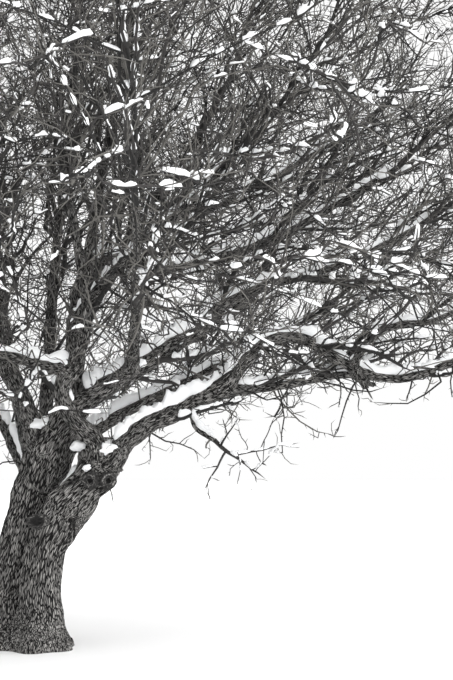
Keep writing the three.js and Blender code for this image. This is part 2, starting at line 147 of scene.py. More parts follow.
# The solids' snow caps, which the masses of twigs keep clear of
SnowCap = namedtuple("SnowCap", "on start end thick")
SNOW_CAPS = (
    SnowCap("arched_bough", 0.2, 0.46, 62),
    SnowCap("middle_bough", 0.16, 0.42, 58),
    SnowCap("dark_bough", 0.76, 0.97, 62),
    SnowCap("elbow_bough", 0.08, 0.3, 52),
)
CAP_STEP = 120
CAP_BURIED = 0.55
CAP_HUG = 0.9
CAP_THIN_END = 0.4
CAP_BLUNT = 0.5

# The rule of the solids' twigs
TWIG_SEED = 4107
SEEDS_APART = 101
LONGEST_STEM = 2400
SHORTEST_STEM = 600
SHORTER = 0.95
TRIALS = 60
CLEAR = 6
SWAY = 13
LIFT = 4
TWIG_TAPER = 0.86
POINTED = 4
Order = namedtuple("Order", "step shoots share angle girth")
ORDERS = (Order(450, 7, 0.76, 66, 1), Order(520, 2, 0.5, 46, 0.62), Order(700, 0, 0, 0, 0.66))
SEED_FACTOR = 17
LINE_SEED = 7
PLACE = (0.7, 1)
BARE_END = 0.4
LATEST = 0.97
OPENING = (0.8, 1.2)
GOLDEN = 137.5
TURN = (0, 50)
NEAR_LENGTH = 1.15
FAR_LENGTH = 0.55
LENGTH_SPREAD = (0.75, 1.25)
TRIMS = (1, 0.6)
STEEP = 0.9
PARALLEL = 1e-9
WORD = 0xFFFFFFFF

# The finer orders. A shoot grows every so many millimetres along its parent, at an angle to it in
# degrees. Its length is a share of the parent's, between two limits, and its radius is a share of
# the parent's, up to the thickest. Only so many shoots start in one cell.
Rule = namedtuple("Rule", "every first last angle share shortest longest girth thickest tip "
                          "steps sides sway curl pull lift crowd")
LATERALS = Rule(165, 0.12, 0.99, 30, 0.66, 600, 2100, 0.66, 30, 9, 7, 4, 0.2, 0.08, 0.3, 0.02, 1.6)
BRANCHLETS = Rule(100, 0.05, 0.99, 36, 0.85, 320, 1300, 0.6, 13, 5.5, 5, 3, 0.28, 0.12, 0.16, 0.02, 3)
TWIGS = Rule(145, 0.08, 1.0, 40, 0.75, 130, 560, 0.8, 8, 4.6, 3, 3, 0.36, 0.22, 0.1, 0.03, 9)
SPURS = Rule(440, 0.06, 1.0, 60, 0.3, 35, 120, 0.9, 5.4, 4, 1, 3, 0.1, 0.0, 0.0, 0.06, 9)
RINGS = LATERALS.steps + 1
SHOOT_OPENING = (0.7, 1.3)
SHOOT_TURN = 90
SHOOT_LENGTH = (0.55, 1.2)
SHOOT_GIRTH = (0.75, 1.1)
CROOKED = 0.012
TONE_SEED = 23
MOST_TRIANGLES = 180000

# The shoots that hang below the low boughs, with their twigs and knobbly spurs
HANGING = Rule(100, 0.06, 0.98, 80, 0.4, 260, 950, 0.6, 11, 5, 5, 3, 0.34, 0.08, 0.0, 0.0, 3)
HUNG_TWIGS = Rule(110, 0.2, 1.0, 55, 0.4, 60, 260, 0.75, 6, 3.6, 3, 3, 0.36, 0.2, 0.0, 0.1, 6)
KNOBS = Rule(130, 0.1, 1.0, 60, 0.1, 18, 50, 1, 5, 4, 1, 3, 0.1, 0.0, 0.0, 0.04, 14)
HANGING_BELOW = 3000
DROOP = -0.55
UPTURN = 0.5

# The shoots that lean into open places: how many places are looked at in each round, and how far
# from the wood an open place is
OPEN_ROUNDS = 12
OPEN_TRIES = 1700
OPEN_GAPS = (200, 1900)
FINE_ROUNDS = 4
FINE_TRIES = 8000
FINE_GAPS = (170, 700)
OPEN_BEND = 0.45
OPEN_CROOK = 0.035
OPEN_TIP = 0.7
LEAST_FLOW = 0.3
MORE_ABOVE = 0.5

# Where shoots may grow, which way they sweep, and how dense they are
FRINGE = 170
SHOOTS_ABOVE = 1750
SHOOTS_RISE = 0.17
SHORTENINGS = 2
SHORTENED = 0.6
FLOW_CENTRE = 2000
FLOW_RISE = 0.75
LEAST_RISE = 0.1
HEART = np.array((150.0, 0.0, 1500.0))
HEART_CLEAR = 500
HEART_FULL = 1700
LEAST_ROOM = 0.06
CELL = 500
THIN_BELOW = 2800
DENSE_ABOVE = 5600
LOW_SHARE = 0.9
HIGH_CROWD = 3.2

# How the limbs' bark is laid out
RING_GAP = 22
STEM_SUNK = 60
STEM_SIDES = 180
BOUGH_FACE = 11
LEAST_SIDES = 20
MOST_SIDES = 52
CROOK = 0.22
CROOK_LENGTH = 260
CROOK_EASE = 200
CROOK_ROW = 0.5
AXES_APART = 7.3
KNOB = 0.16
KNOB_LENGTH = 150
KNOB_ROW = 3.7
STEM_CALM = 0.35
COLLAR = 0.35
COLLAR_LENGTH = 110
COLLAR_MOST = 1.3
STEM_FILLET = 120
FILLET = 0.9
FILLET_HEIGHT = 0.25
SKIP = 6
FLUTES = 1.2
FLUTE_LENGTH = 700
FLUTE_DEPTH = 0.09
BUTTRESSES = 5
BUTTRESS_DEPTH = 0.1
BUTTRESS_HEIGHT = 160
SHALLOW = 1.5
FURROW_SHARE = 0.05
BROAD = 1.1
RIDGE_LENGTH = 9
FURROW_SWAY = 0.6
SWAY_BENDS = 0.45
SWAY_ROWS = (0, 31.7)
FURROW_EDGE = 0.34
FURROW_ROUND = 0.8
GRAIN_SHIFT = 7

# The right stem's swollen end and its scars. A scar's steps go inwards: width and rise are shares
# of its radius, and ridge is how pale its bark is. Its lowest values, in the sunken middle, are painted
# shade.
STUMP = Bough("stump", "right", 0.72, (40, 20, 60), (20, 76, 90), 820, 150, 128)
STUMP_STEP = 100
STUMP_SIDES = 90
KNUCKLE_RADIUS = 150
KNUCKLE_FINENESS = 6
KNUCKLE_LUMPS = 2.3
KNUCKLE_LUMP_ROW = 5.3
KNUCKLE_LUMP_DEPTH = 0.1
PRUNED_RADIUS = 50
PRUNED_APART = 36
PRUNED_ASIDE = 18
PRUNED_BELOW = -55
PRUNED_TURN = 18
PRUNED_OUT = 170
Step = namedtuple("Step", "width rise ridge")
PRUNED_STEPS = (Step(1.6, -0.9, 0.7), Step(1.46, -0.3, 0.6), Step(1.3, -0.05, 0.4), Step(1.16, 0.1, 0.8),
                Step(1, 0.16, 1.1), Step(0.84, 0.1, 0.9), Step(0.74, -0.02, 0.3), Step(0.62, -0.05, 0.8),
                Step(0.52, -0.05, 0.9), Step(0.44, -0.2, 0.2), Step(0.34, -0.5, 0), Step(0.12, -0.6, 0))
HOLLOW_STEPS = (Step(1.7, -0.9, 0.8), Step(1.5, -0.16, 0.8), Step(1.28, 0.04, 0.8), Step(1.06, 0.08, 0.9),
                Step(0.9, 0, 0.5), Step(0.78, -0.2, 0.2), Step(0.6, -0.4, 0.1), Step(0.2, -0.5, 0.1))
SCAR_SIDES = 40
SCAR_LUMPS = 1.7
SCAR_WARP = 0.36
SCAR_GRAIN = 9
HOLLOW_AT = (290, -262, 1085)
HOLLOW_FACING = (-0.35, -0.9, 0.12)
HOLLOW_RADIUS = 52
HOLLOW_STRETCH = (1.35, 0.8, 1)

# Broken stubs and torn bark, on the trunk or a bough
Torn = namedtuple("Torn", "limb at aim length radius")
TORN_BARK = (Torn("trunk", (880, -190, 1500), (0.75, -0.45, 0.35), 130, 26),
             Torn("trunk", (905, -150, 1540), (0.9, -0.2, -0.1), 110, 20),
             Torn("trunk", (860, -215, 1470), (0.7, -0.6, -0.25), 80, 22),
             Torn("trunk", (890, -225, 1410), (0.25, -0.1, -1), 170, 5),
             Torn("arched_bough", (3050, -125, 2405), (0.62, -0.2, -0.75), 225, 50),
             Torn("arched_bough", (3115, -165, 2310), (0.45, -0.3, -0.84), 190, 9))
SNAG_RINGS = 7
SNAG_SIDES = 12
SNAG_CROOK = 0.25
SNAG_GIRTH = (-0.1, 0.15)
SNAG_TAPER = (1.1, 0.75)
SNAG_TORN = 1.4
SNAG_TORN_FROM = 4
SNAG_RIDGES = 0.4

# Snow along limbs: a patch every so many millimetres, its length between two limits, its depth a
# base and a share of the limb's radius up to the most, and none where the limb is too steep
SnowRule = namedtuple("SnowRule", "every shortest longest base share most steepest rings sides")
BOUGH_SNOW = SnowRule(280, 180, 620, 32, 0.9, 96, 0.9, 29, 9)
BRANCH_SNOW = SnowRule(190, 60, 180, 20, 1.3, 60, 0.64, 7, 6)
TWIG_SNOW = SnowRule(1000, 50, 120, 12, 1.4, 28, 0.5, 6, 5)
BOUGH_SNOW_SEED = 21
TWIG_SNOW_SEED = 22
PATCH_MIDDLES = (0.3, 0.7)
PATCH_CENTRES = (0.02, 0.98)
PATCH_REACH = (0.015, 0.985)
HIGH_PATCHES = 0.6  # how long the patches high in the crown are, as a share of the low ones
STEEPNESS = (0.6, 1)
SNOW_BLUNT = 0.3
SNOW_UNEVEN = (0.65, 1.15)

# Thin snow, in strips that sink a little into the wood
STRIP_UNEVEN = (0.55, 1.35)
STRIP_SUNK = 0.8
STRIP_END = 0.4
STRIP_WIDTH = 0.85
STRIP_BULGE = 0.3
STRIP_UNDER = 0.25

# Deep snow, wrapped some way round the bough
BOUGH_SNOW_RINGS = 90
SNOW_WRAP = (36, 60)
SNOW_END = 0.4
SNOW_RAGGED = 0.8
SNOW_BED = 0.98
SNOW_LET_IN = 0.2
SNOW_EDGE = 4
SNOW_UPRIGHT = 0.5
SNOW_LUMP = 75
SNOW_LUMPS = 0.7
SNOW_CRUMB = 34
SNOW_CRUMBS = 0.45

# Heaps of snow in the forks, and two on the right stem's swollen end
Heap = namedtuple("Heap", "place reach")
LOW_HEAPS = (Heap((600, -50, 1740), (75, 50, 48)), Heap((700, -262, 1547), (42, 22, 26)))
HEAP_FINENESS = 3
HEAP_SHAPE = (0.9, 0.9, 0.6)
HEAP_LUMP = 1.6
HEAP_LUMPS = 0.5
HEAP_CRUMB = 5
HEAP_CRUMBS = 0.16
HEAPS_APART = 3.1
FORK_LOOK = 0.2
FORK_STRAIGHT = 0.96
FORK_OPENS = 0.35
FORK_DEPTH = 0.9

# The photograph's view, in metres and degrees, its light, and the floor
CAMERA_AT = (1.912, -10.0, 1.5)
LOOKS_AT = (1.912, 0.0, 2.7)
VIEW_ANGLE = 34
SENSOR_HEIGHT = 24
FARTHEST = 1000
SKY_STRENGTH = 1.0
Lamp = namedtuple("Lamp", "name energy angle direction")
LAMPS = (Lamp("soft_sun", 2.2, 60, (1.3, -0.5, 0.6)), Lamp("cloud_glow", 1.2, 150, (0, -0.2, 1)),
         Lamp("snow_glow", 0.6, 100, (0.5, -1, 0.1)))
FLOOR_SIZE = 400
FLOOR_COLOUR = "#fbfbfb"


# Chance and shares
def seeded(seed):
    """Repeatable numbers from 0 to 1, the same as the solids'."""
    state = seed & WORD

    def draw():
        nonlocal state
        state = (state + 0x6D2B79F5) & WORD
        mixed = ((state ^ state >> 15) * (state | 1)) & WORD
        mixed ^= (mixed + (mixed ^ mixed >> 7) * (mixed | 61)) & WORD
        return (mixed ^ mixed >> 14) / 2**32

    return draw


def lerp(start, end, share):
    return start + (end - start) * share


def between(random, limits):
    return lerp(limits[0], limits[1], random())


def rounded(value):
    return math.floor(value + 0.5)


# Directions
def normalised(vectors):
    return vectors / np.linalg.norm(vectors, axis=-1, keepdims=True)


def heading(azimuth, rise):
    turn, climb = math.radians(azimuth), math.radians(rise)
    flat = math.cos(climb)
    return np.array((flat * math.cos(turn), flat * math.sin(turn), math.sin(climb)))


def square_to(directions):
    """A direction at right angles to each of the given ones."""
    helper = np.where(np.abs(directions[..., 2:]) > STEEP, np.array((1.0, 0.0, 0.0)), UP)
    return normalised(np.cross(directions, helper))


def turned(vectors, axes, angles):
    """Each vector turned about its axis by an angle in radians."""
    cos, sin = np.cos(angles)[..., None], np.sin(angles)[..., None]
    onto = np.sum(axes * vectors, axis=-1, keepdims=True)
    return vectors * cos + np.cross(axes, vectors) * sin + axes * onto * (1 - cos)


# Lines: an array with a row (x, y, z, radius) for each ring
def along(keys, share):
    """The value at a share of a list of equally spaced ones."""
    return float(np.interp(share * (len(keys) - 1), range(len(keys)), keys))


def limb_line(limb, start, step, taper):
    """A limb's line from its start, by its headings at equal steps."""
    steps = max(2, rounded(limb.length / step))
    line = [(*start, limb.root)]
    for i in range(1, steps + 1):
        share = (i - 0.5) / steps
        stride = heading(along(limb.azimuth, share), along(limb.rise, share)) * limb.length / steps
        line.append((*(line[-1][:3] + stride), lerp(limb.root, limb.tip, (i / steps) ** taper)))
    return np.array(line)


def line_at(line, share):
    """The point, radius and direction at a share of a line."""
    place = share * (len(line) - 1)
    first = min(int(place), len(line) - 2)
    ring = lerp(line[first], line[first + 1], place - first)
    return ring[:3], ring[3], normalised(line[first + 1, :3] - line[first, :3])


def stem_line(stem):
    """A stem's line, flared at its foot and carried on below the ground."""
    line = limb_line(stem, (*stem.foot, 0.0), STEM_STEP, STEM_TAPER)
    line[:, 3] *= 1 + FLARE_GROWTH * np.exp(-line[:, 2] / FLARE_HEIGHT)
    return np.vstack([line[0] - (0, 0, BELOW_GROUND, 0), line])


def habit_boughs():
    """The boughs of the stems that only the habit of the tree tells of."""
    boughs = []
    for row, stem in enumerate(HABIT_STEMS):
        outward = next(s.azimuth[0] for s in STEMS if s.name == stem)
        for k, habit in enumerate(HABITS):
            random = seeded(DRIFT_SEED + row * DRIFT_PER_STEM + k)
            azimuth = [outward + habit.turn + between(random, (-DRIFT_AZIMUTH, DRIFT_AZIMUTH))
                       for _ in range(DRIFT_BENDS)]
            rise = [angle + between(random, (-DRIFT_RISE, DRIFT_RISE)) for angle in habit.rise]
            boughs.append(Bough(f"{stem}_{habit.name}_bough", stem, habit.at, azimuth, rise,
                                habit.length, habit.root, habit.tip))
    return boughs


@functools.cache
def limbs():
    """Every bough, and the line of every stem and bough by name."""
    lines = {stem.name: stem_line(stem) for stem in STEMS}
    boughs = [*BOUGHS, *habit_boughs()]
    for bough in boughs:
        start, _, direction = line_at(lines[bough.on], bough.at)
        if bough.at == 1:
            start = start + direction * GAP
        lines[bough.name] = limb_line(bough, start, LIMB_STEP, LIMB_TAPER)
    return boughs, lines


def stem_under(name):
    """The stem that carries a limb, however far up."""
    carriers = {bough.name: bough.on for bough in limbs()[0]}
    while name in carriers:
        name = carriers[name]
    return name


def cap_line(cap, line):
    """The line of a solid's snow cap along its bough."""
    length = (cap.end - cap.start) * (len(line) - 1) * LIMB_STEP
    rings = []
    for share in np.linspace(0, 1, rounded(length / CAP_STEP) + 1):
        at, radius, _ = line_at(line, lerp(cap.start, cap.end, share))
        fullness = math.sin(math.pi * share) ** CAP_BLUNT
        thick = cap.thick * fullness
        depth = (thick + CAP_HUG * radius * lerp(CAP_THIN_END, 1, fullness)) / 2
        sunk = CAP_BURIED * radius * (1 - fullness)
        rings.append((*(at + UP * (radius + thick - depth - sunk)), depth))
    return np.array(rings)


# The crown's outline and each mass's own space
def crown_reach(points):
    """How far out the crown goes in each point's direction."""
    azimuth = np.arctan2(points[..., 1], points[..., 0])
    reach = CROWN_REACH
    for lobe in LOBES:
        reach = reach * (1 + lobe.size * np.sin(lobe.count * azimuth + lobe.turn))
    return reach


def inside_crown(points, fringe=0, floor=0):
    """Which points lie in the crown, above a floor and at least the fringe above its underside."""
    out = np.hypot(points[..., 0], points[..., 1])
    low = np.maximum(floor, UNDERSIDE + fringe + np.maximum(0, out - HANGS_TO) * UNDER_SLOPE)
    up = np.maximum(0, points[..., 2] - CROWN_WIDEST) / (CROWN_TOP - CROWN_WIDEST)
    return (points[..., 2] >= low) & ((out / crown_reach(points)) ** 2 + up**2 <= 1)


def stretches_of(lines):
    """Both ends and the radius of every stretch of some lines."""
    starts = np.vstack([line[:-1] for line in lines])
    ends = np.vstack([line[1:] for line in lines])
    return starts[:, :3], ends[:, :3], np.maximum(starts[:, 3], ends[:, 3])


def touches(line, obstacles):
    """Whether a line comes within the clearance of any of the stretches."""
    a, b, own = (part[:, None] for part in stretches_of([line]))
    c, d, other = obstacles
    first, second, offset = b - a, d - c, a - c
    first_sq, second_sq = np.sum(first**2, -1), np.sum(second**2, -1)
    dot, on_first, on_second = (np.sum(p * q, -1) for p, q in
                                ((first, second), (first, offset), (second, offset)))
    spread = first_sq * second_sq - dot**2
    s = (dot * on_second - on_first * second_sq) / np.where(spread > PARALLEL, spread, np.inf)
    s = np.clip(s, 0, 1)
    t = np.clip((dot * s + on_second) / second_sq, 0, 1)
    s = np.clip((dot * t - on_first) / first_sq, 0, 1)
    apart = np.linalg.norm(offset + first * s[..., None] - second * t[..., None], axis=-1)
    return bool(np.any(apart < own + other + CLEAR))


# The solids' own twigs
def twig_line(start, direction, length, radius, order, random):
    """A twig's line, that sways at each step and rises a little."""
    steps = max(1, rounded(length / ORDERS[order].step))
    line = [(*start, radius)]
    aim = direction
    for i in range(1, steps + 1):
        side = square_to(aim)
        turn = random() * 2 * math.pi
        sway = math.radians(SWAY) * random()
        aim = turned(turned(aim, side, sway * math.cos(turn)), UP, sway * math.sin(turn))
        aim = normalised(aim + UP * math.sin(math.radians(LIFT)))
        thin = POINTED if i == steps else radius * (1 - i / steps * TWIG_TAPER)
        line.append((*(line[-1][:3] + aim * length / steps), thin))
    return np.array(line)


def shoot_directions(direction, opening, turn):
    """Directions that open from the parent's by an angle and are turned round it, in degrees."""
    away = turned(direction, square_to(direction), np.radians(opening))
    return turned(away, direction, np.radians(turn))


def grow_shoots(parent, length, order, seed, fits):
    """The shoots of a line and all that grow on them, apart from those with no room."""
    rule = ORDERS[order]
    grown = []
    for k in range(rule.shoots):
        shoot_seed = seed * SEED_FACTOR + k + 1
        random = seeded(shoot_seed)
        place = (k + between(random, PLACE)) / (rule.shoots + BARE_END)
        start, girth, direction = line_at(parent, min(place, LATEST))
        opening = rule.angle * between(random, OPENING)
        turn = k * GOLDEN + between(random, TURN)
        aim = shoot_directions(direction, opening, turn)
        tallness = lerp(NEAR_LENGTH, FAR_LENGTH, place) * between(random, LENGTH_SPREAD)
        for trim in TRIMS:
            size = length * rule.share * tallness * trim
            radius = girth * ORDERS[order + 1].girth
            line = twig_line(start, aim, size, radius, order + 1, seeded(shoot_seed + LINE_SEED))
            if fits(line):
                grown += [line, *grow_shoots(line, size, order + 1, shoot_seed, fits)]
                break
    return grown


def stem_of_mass(line, seed):
    """The longest stem from a bough's end that stays in the crown."""
    direction = line_at(line, 1)[2]
    start = line[-1, :3] + direction * GAP
    length = LONGEST_STEM
    while length > SHORTEST_STEM:
        stem = twig_line(start, direction, length, line[-1, 3], 0, seeded(seed))
        if np.all(inside_crown(stem)):
            return stem, length
        length *= SHORTER
    return None


@functools.cache
def masses():
    """For each bough that ends in a mass: the mass's stem and its shoots, as the solids have them."""
    boughs, lines = limbs()
    snow = [cap_line(cap, lines[cap.on]) for cap in SNOW_CAPS]
    carriers = {bough.on for bough in boughs if bough.at == 1}
    stems = {}
    for k, bough in enumerate(b for b in boughs if b.name not in carriers):
        others = [line for name, line in lines.items() if name != bough.name]
        obstacles = stretches_of([*others, *snow, *(stem for stem, _, _ in stems.values())])
        for seed in range(TWIG_SEED + SEEDS_APART * k, TWIG_SEED + SEEDS_APART * k + TRIALS):
            found = stem_of_mass(lines[bough.name], seed)
            if found and not touches(found[0], obstacles):
                stems[bough.name] = (*found, seed)
                break
    grown = {}
    for name, (stem, length, seed) in stems.items():
        centre = line_at(stem, 0.5)[0]
        rest = [other for key, (other, _, _) in stems.items() if key != name]
        middles = np.array([line_at(other, 0.5)[0] for other in rest])
        walls, towards = lerp(centre, middles, 0.5), normalised(middles - centre)
        obstacles = stretches_of([*lines.values(), *snow, *rest])

        def fits(line):
            beyond = np.einsum("lwk,wk->lw", line[:, None, :3] - walls, towards)
            own_space = np.all(beyond < -line[:, 3:] - CLEAR)
            return own_space and np.all(inside_crown(line)) and not touches(line, obstacles)

        grown[name] = [stem, *grow_shoots(stem, length, 0, seed, fits)]
    return grown


# Shoots in bulk: the same number of rings on each, so that one step grows them all
Shoots = namedtuple("Shoots", "points radii stem")


def smoothed(line, rings):
    """A smooth curve through a line's rings, with its own number of rings."""
    place = np.linspace(0, len(line) - 1, rings)
    first = np.minimum(place.astype(int), len(line) - 2)
    t = (place - first)[:, None]
    padded = np.vstack([2 * line[0] - line[1], line, 2 * line[-1] - line[-2]])
    a, b, c, d = (padded[first + k] for k in range(4))
    curve = 0.5 * (2 * b + (c - a) * t + (2 * a - 5 * b + 4 * c - d) * t**2
                   + (3 * b - a - 3 * c + d) * t**3)
    curve[:, 3] = np.interp(place, range(len(line)), line[:, 3])
    return curve


def as_shoots(lines, stems, rings):
    """Lines by name, or lists of them, as shoots that know which stem carries them."""
    curves = np.array([smoothed(line, rings) for line in lines])
    return Shoots(curves[..., :3], curves[..., 3], np.array(stems))


def merged(*groups):
    """Groups of shoots as one group. Their shoots have the same number of rings."""
    return Shoots(*(np.concatenate(parts) for parts in zip(*groups)))


def chosen(shoots, which):
    return Shoots(*(part[which] for part in shoots))


def lengths_of(shoots):
    return np.linalg.norm(np.diff(shoots.points, axis=1), axis=2).sum(axis=1)


def spread_over(counts):
    """For so many things on each owner: the owner of each thing, and its number there."""
    owner = np.repeat(np.arange(len(counts)), counts)
    return owner, np.arange(len(owner)) - np.repeat(np.cumsum(counts) - counts, counts)


def joints_on(shoots, owner, place):
    """The point, radius and direction at a share of each owner's length."""
    spot = place * (shoots.radii.shape[1] - 1)
    first = np.minimum(spot.astype(int), shoots.radii.shape[1] - 2)
    share = spot - first
    start, end = shoots.points[owner, first], shoots.points[owner, first + 1]
    radius = lerp(shoots.radii[owner, first], shoots.radii[owner, first + 1], share)
    return lerp(start, end, share[:, None]), radius, normalised(end - start)


def flow(points):
    """The way that the crown's branches sweep at each point: outwards, and steeper higher up."""
    sweep = points * (1, 1, FLOW_RISE) - UP * FLOW_RISE * FLOW_CENTRE
    out = np.hypot(sweep[..., 0], sweep[..., 1])
    sweep[..., 2] = np.maximum(sweep[..., 2], LEAST_RISE * out)
    return normalised(sweep)


def grown_on(parents, rule, random, bend=None, low=False):
    """The next order of shoots on all the parents. Only low ones may fill the crown's underside."""
    length = lengths_of(parents)
    counts = np.maximum(1, np.round(length * (rule.last - rule.first) / rule.every)).astype(int)
    owner, rank = spread_over(counts)
    place = lerp(rule.first, rule.last, (rank + random.random(len(owner))) / counts[owner])
    start, girth, direction = joints_on(parents, owner, place)
    kept = (random.random(len(owner)) < room_for(start)) & uncrowded(start, rule.crowd, random)
    owner, rank, place, start, girth, direction = (
        values[kept] for values in (owner, rank, place, start, girth, direction))
    count = len(owner)
    opening = rule.angle * random.uniform(*SHOOT_OPENING, count)
    aim = shoot_directions(direction, opening, rank * GOLDEN + random.uniform(0, SHOOT_TURN, count))
    size = length[owner] * rule.share * lerp(NEAR_LENGTH, FAR_LENGTH, place)
    size = np.clip(size, rule.shortest, rule.longest) * random.uniform(*SHOOT_LENGTH, count)
    radius = np.minimum(girth * rule.girth, rule.thickest) * random.uniform(*SHOOT_GIRTH, count)
    curl = random.normal(0, rule.curl, (count, 3))
    points = [start]
    for step in range(rule.steps):
        aim = aim + random.normal(0, rule.sway, (count, 3)) + curl + UP * rule.lift
        aim = aim + flow(points[-1]) * rule.pull
        if bend is not None:
            aim = aim + UP * bend(step / rule.steps)
        aim = normalised(aim)
        points.append(points[-1] + aim * (size / rule.steps)[:, None])
    points = np.stack(points, axis=1)
    share = np.linspace(0, 1, rule.steps + 1)
    radii = lerp(radius[:, None], np.minimum(rule.tip, radius)[:, None], share)
    return trimmed(Shoots(points, radii, parents.stem[owner]), low)


def within_reach(points, low=False):
    """Which points are in the crown and the solids' box. Only low shoots may fill its underside."""
    least, most = (np.array(corner) / MM for corner in CAD_BOX)
    boxed = np.all((points > least) & (points < most), axis=-1)
    fringe, floor = 0, 0
    if not low:
        fringe = FRINGE
        floor = SHOOTS_ABOVE + SHOOTS_RISE * np.hypot(points[..., 0], points[..., 1])
    return boxed & inside_crown(points * (1, 1, CROWN_TOP / most[2]), fringe, floor)


def trimmed(shoots, low):
    """The shoots that stay in the crown, shortened where that is enough."""
    points = shoots.points
    for _ in range(SHORTENINGS):
        leaves = ~np.all(within_reach(points[:, 1:], low), axis=1)
        points = np.where(leaves[:, None, None], lerp(points[:, :1], points, SHORTENED), points)
    stays = np.all(within_reach(points[:, 1:], low), axis=1)
    return chosen(shoots._replace(points=points), stays)


def reaching_into(bearing, rule, gaps, tries, random):
    """Shoots that lean out from the nearest wood, each into one open place in the crown."""
    at = bearing.points[:, 2:].reshape(-1, 3)
    way = normalised(np.diff(bearing.points[:, 1:], axis=1)).reshape(-1, 3)
    radii = bearing.radii[:, 2:].ravel()
    stem = np.repeat(bearing.stem, bearing.radii.shape[1] - 2)
    wood = kdtree.KDTree(len(at))
    for k, place in enumerate(at):
        wood.insert(place, k)
    wood.balance()
    corner = np.array((CROWN_REACH, CROWN_REACH, 1))
    places = random.uniform(corner * (-1, -1, 0), corner, (tries, 3))
    places[:, 2] = lerp(UNDERSIDE, CROWN_TOP, places[:, 2] ** MORE_ABOVE)
    places = places[within_reach(places) & (random.random(tries) < room_for(places))]
    found = [wood.find(place)[1:] for place in places]
    nearest = np.array([index for index, _ in found])
    gap = np.array([distance for _, distance in found])
    with_flow = np.sum((places - at[nearest]) * flow(places), axis=-1) > gap * LEAST_FLOW
    open_ones = (gap > gaps[0]) & (gap < gaps[1]) & with_flow
    places, nearest, gap = places[open_ones], nearest[open_ones], gap[open_ones]
    share = np.linspace(0, 1, rule.steps + 1)[:, None]
    start = at[nearest][:, None]
    bend = start + way[nearest][:, None] * (gap * OPEN_BEND)[:, None, None]
    points = lerp(lerp(start, bend, share), lerp(bend, places[:, None], share), share)
    crooks = random.normal(0, OPEN_CROOK, points.shape) * np.sin(math.pi * share)
    points = points + crooks * gap[:, None, None]
    radius = np.clip(radii[nearest] * rule.girth, rule.tip, rule.thickest)[:, None]
    return Shoots(points, lerp(radius, rule.tip * OPEN_TIP, share[:, 0]), stem[nearest])


def crooked(shoots, random):
    """Shoots bent off their straight lines a little, and not at their feet."""
    off = random.normal(0, 1, shoots.points.shape)
    off = (off[:, :-1] + off[:, 1:]) / 2
    off = np.concatenate([np.zeros_like(off[:, :1]), off], axis=1)
    off = off * (lengths_of(shoots) * CROOKED)[:, None, None]
    return shoots._replace(points=shoots.points + off)


def uncrowded(starts, most, random):
    """Thins out shoots where too many start in one cell of the crown. More may start high up."""
    cells = np.floor(starts / CELL).astype(int)
    _, cell, counts = np.unique(cells, axis=0, return_inverse=True, return_counts=True)
    most = most * lerp(1, HIGH_CROWD, height_share(starts))
    return random.random(len(starts)) < most / counts[cell.ravel()]


def height_share(points):
    """0 in the open lower crown, up to 1 in the dense upper crown."""
    return np.clip((points[..., 2] - THIN_BELOW) / (DENSE_ABOVE - THIN_BELOW), 0, 1)


def room_for(points):
    """How likely a shoot is at each point: few grow low down and in the shade round the trunk."""
    away = np.linalg.norm(points - HEART, axis=1)
    lit = np.clip((away - HEART_CLEAR) / (HEART_FULL - HEART_CLEAR), LEAST_ROOM, 1)
    return lit * lerp(LOW_SHARE, 1, height_share(points))


# Noise
GRADIENTS = np.array([v for v in product((-1, 0, 1), repeat=3) if sum(map(abs, v)) == 2], float)
SCATTER = (73856093, 19349663, 83492791)
SCATTER_AGAIN = 1274126177


def scrambled(cell):
    """A whole number for each cell, with no likeness to its neighbours' and always the same."""
    mixed = cell[..., 0] * SCATTER[0] ^ cell[..., 1] * SCATTER[1] ^ cell[..., 2] * SCATTER[2]
    return (mixed ^ mixed >> 13) * SCATTER_AGAIN & WORD


def noise(points):
    """Smooth noise between about -1 and 1, with bumps about 1 apart."""
    cell = np.floor(points).astype(np.int64)
    local = points - cell
    fade = local**3 * (local * (local * 6 - 15) + 10)
    total = 0.0
    for corner in product((0, 1), repeat=3):
        mixed = scrambled(cell + corner)
        gradient = GRADIENTS[(mixed ^ mixed >> 16) % len(GRADIENTS)]
        weight = np.prod(np.where(corner, fade, 1 - fade), axis=-1)
        total = total + weight * np.sum(gradient * (local - corner), axis=-1)
    return total


def cell_edges(points):
    """0 on the edges between cells about 1 across, and rising away from them."""
    cell = np.floor(points).astype(np.int64)
    local = points - cell
    nearest = second = np.full(points.shape[:-1], np.inf)
    for shift in product((-1, 0, 1), repeat=3):
        mixed = scrambled(cell + shift)
        middle = np.stack([(mixed >> bits & 255) / 255 for bits in (4, 12, 20)], axis=-1)
        apart = np.linalg.norm(shift + middle - local, axis=-1)
        second = np.minimum(second, np.maximum(nearest, apart))
        nearest = np.minimum(nearest, apart)
    return second - nearest


# Finished lines of the stems and boughs
def eased(share):
    return share * share * (3 - 2 * share)


def own_number(name):
    """A number for each limb's name, so that no two limbs have the same crooks and furrows."""
    return sum(map(ord, name))


def wavering(travel, row, axis=0):
    """Noise along a limb. Each row and axis has its own."""
    spot = np.stack([travel, np.full_like(travel, row), np.full_like(travel, axis * AXES_APART)], -1)
    return noise(spot)


@functools.cache
def barked_limbs():
    """The limbs, and the stump of one that was cut long ago."""
    boughs, lines = limbs()
    start = line_at(lines[STUMP.on], STUMP.at)[0]
    return [*boughs, STUMP], {**lines, STUMP.name: limb_line(STUMP, start, STUMP_STEP, LIMB_TAPER)}


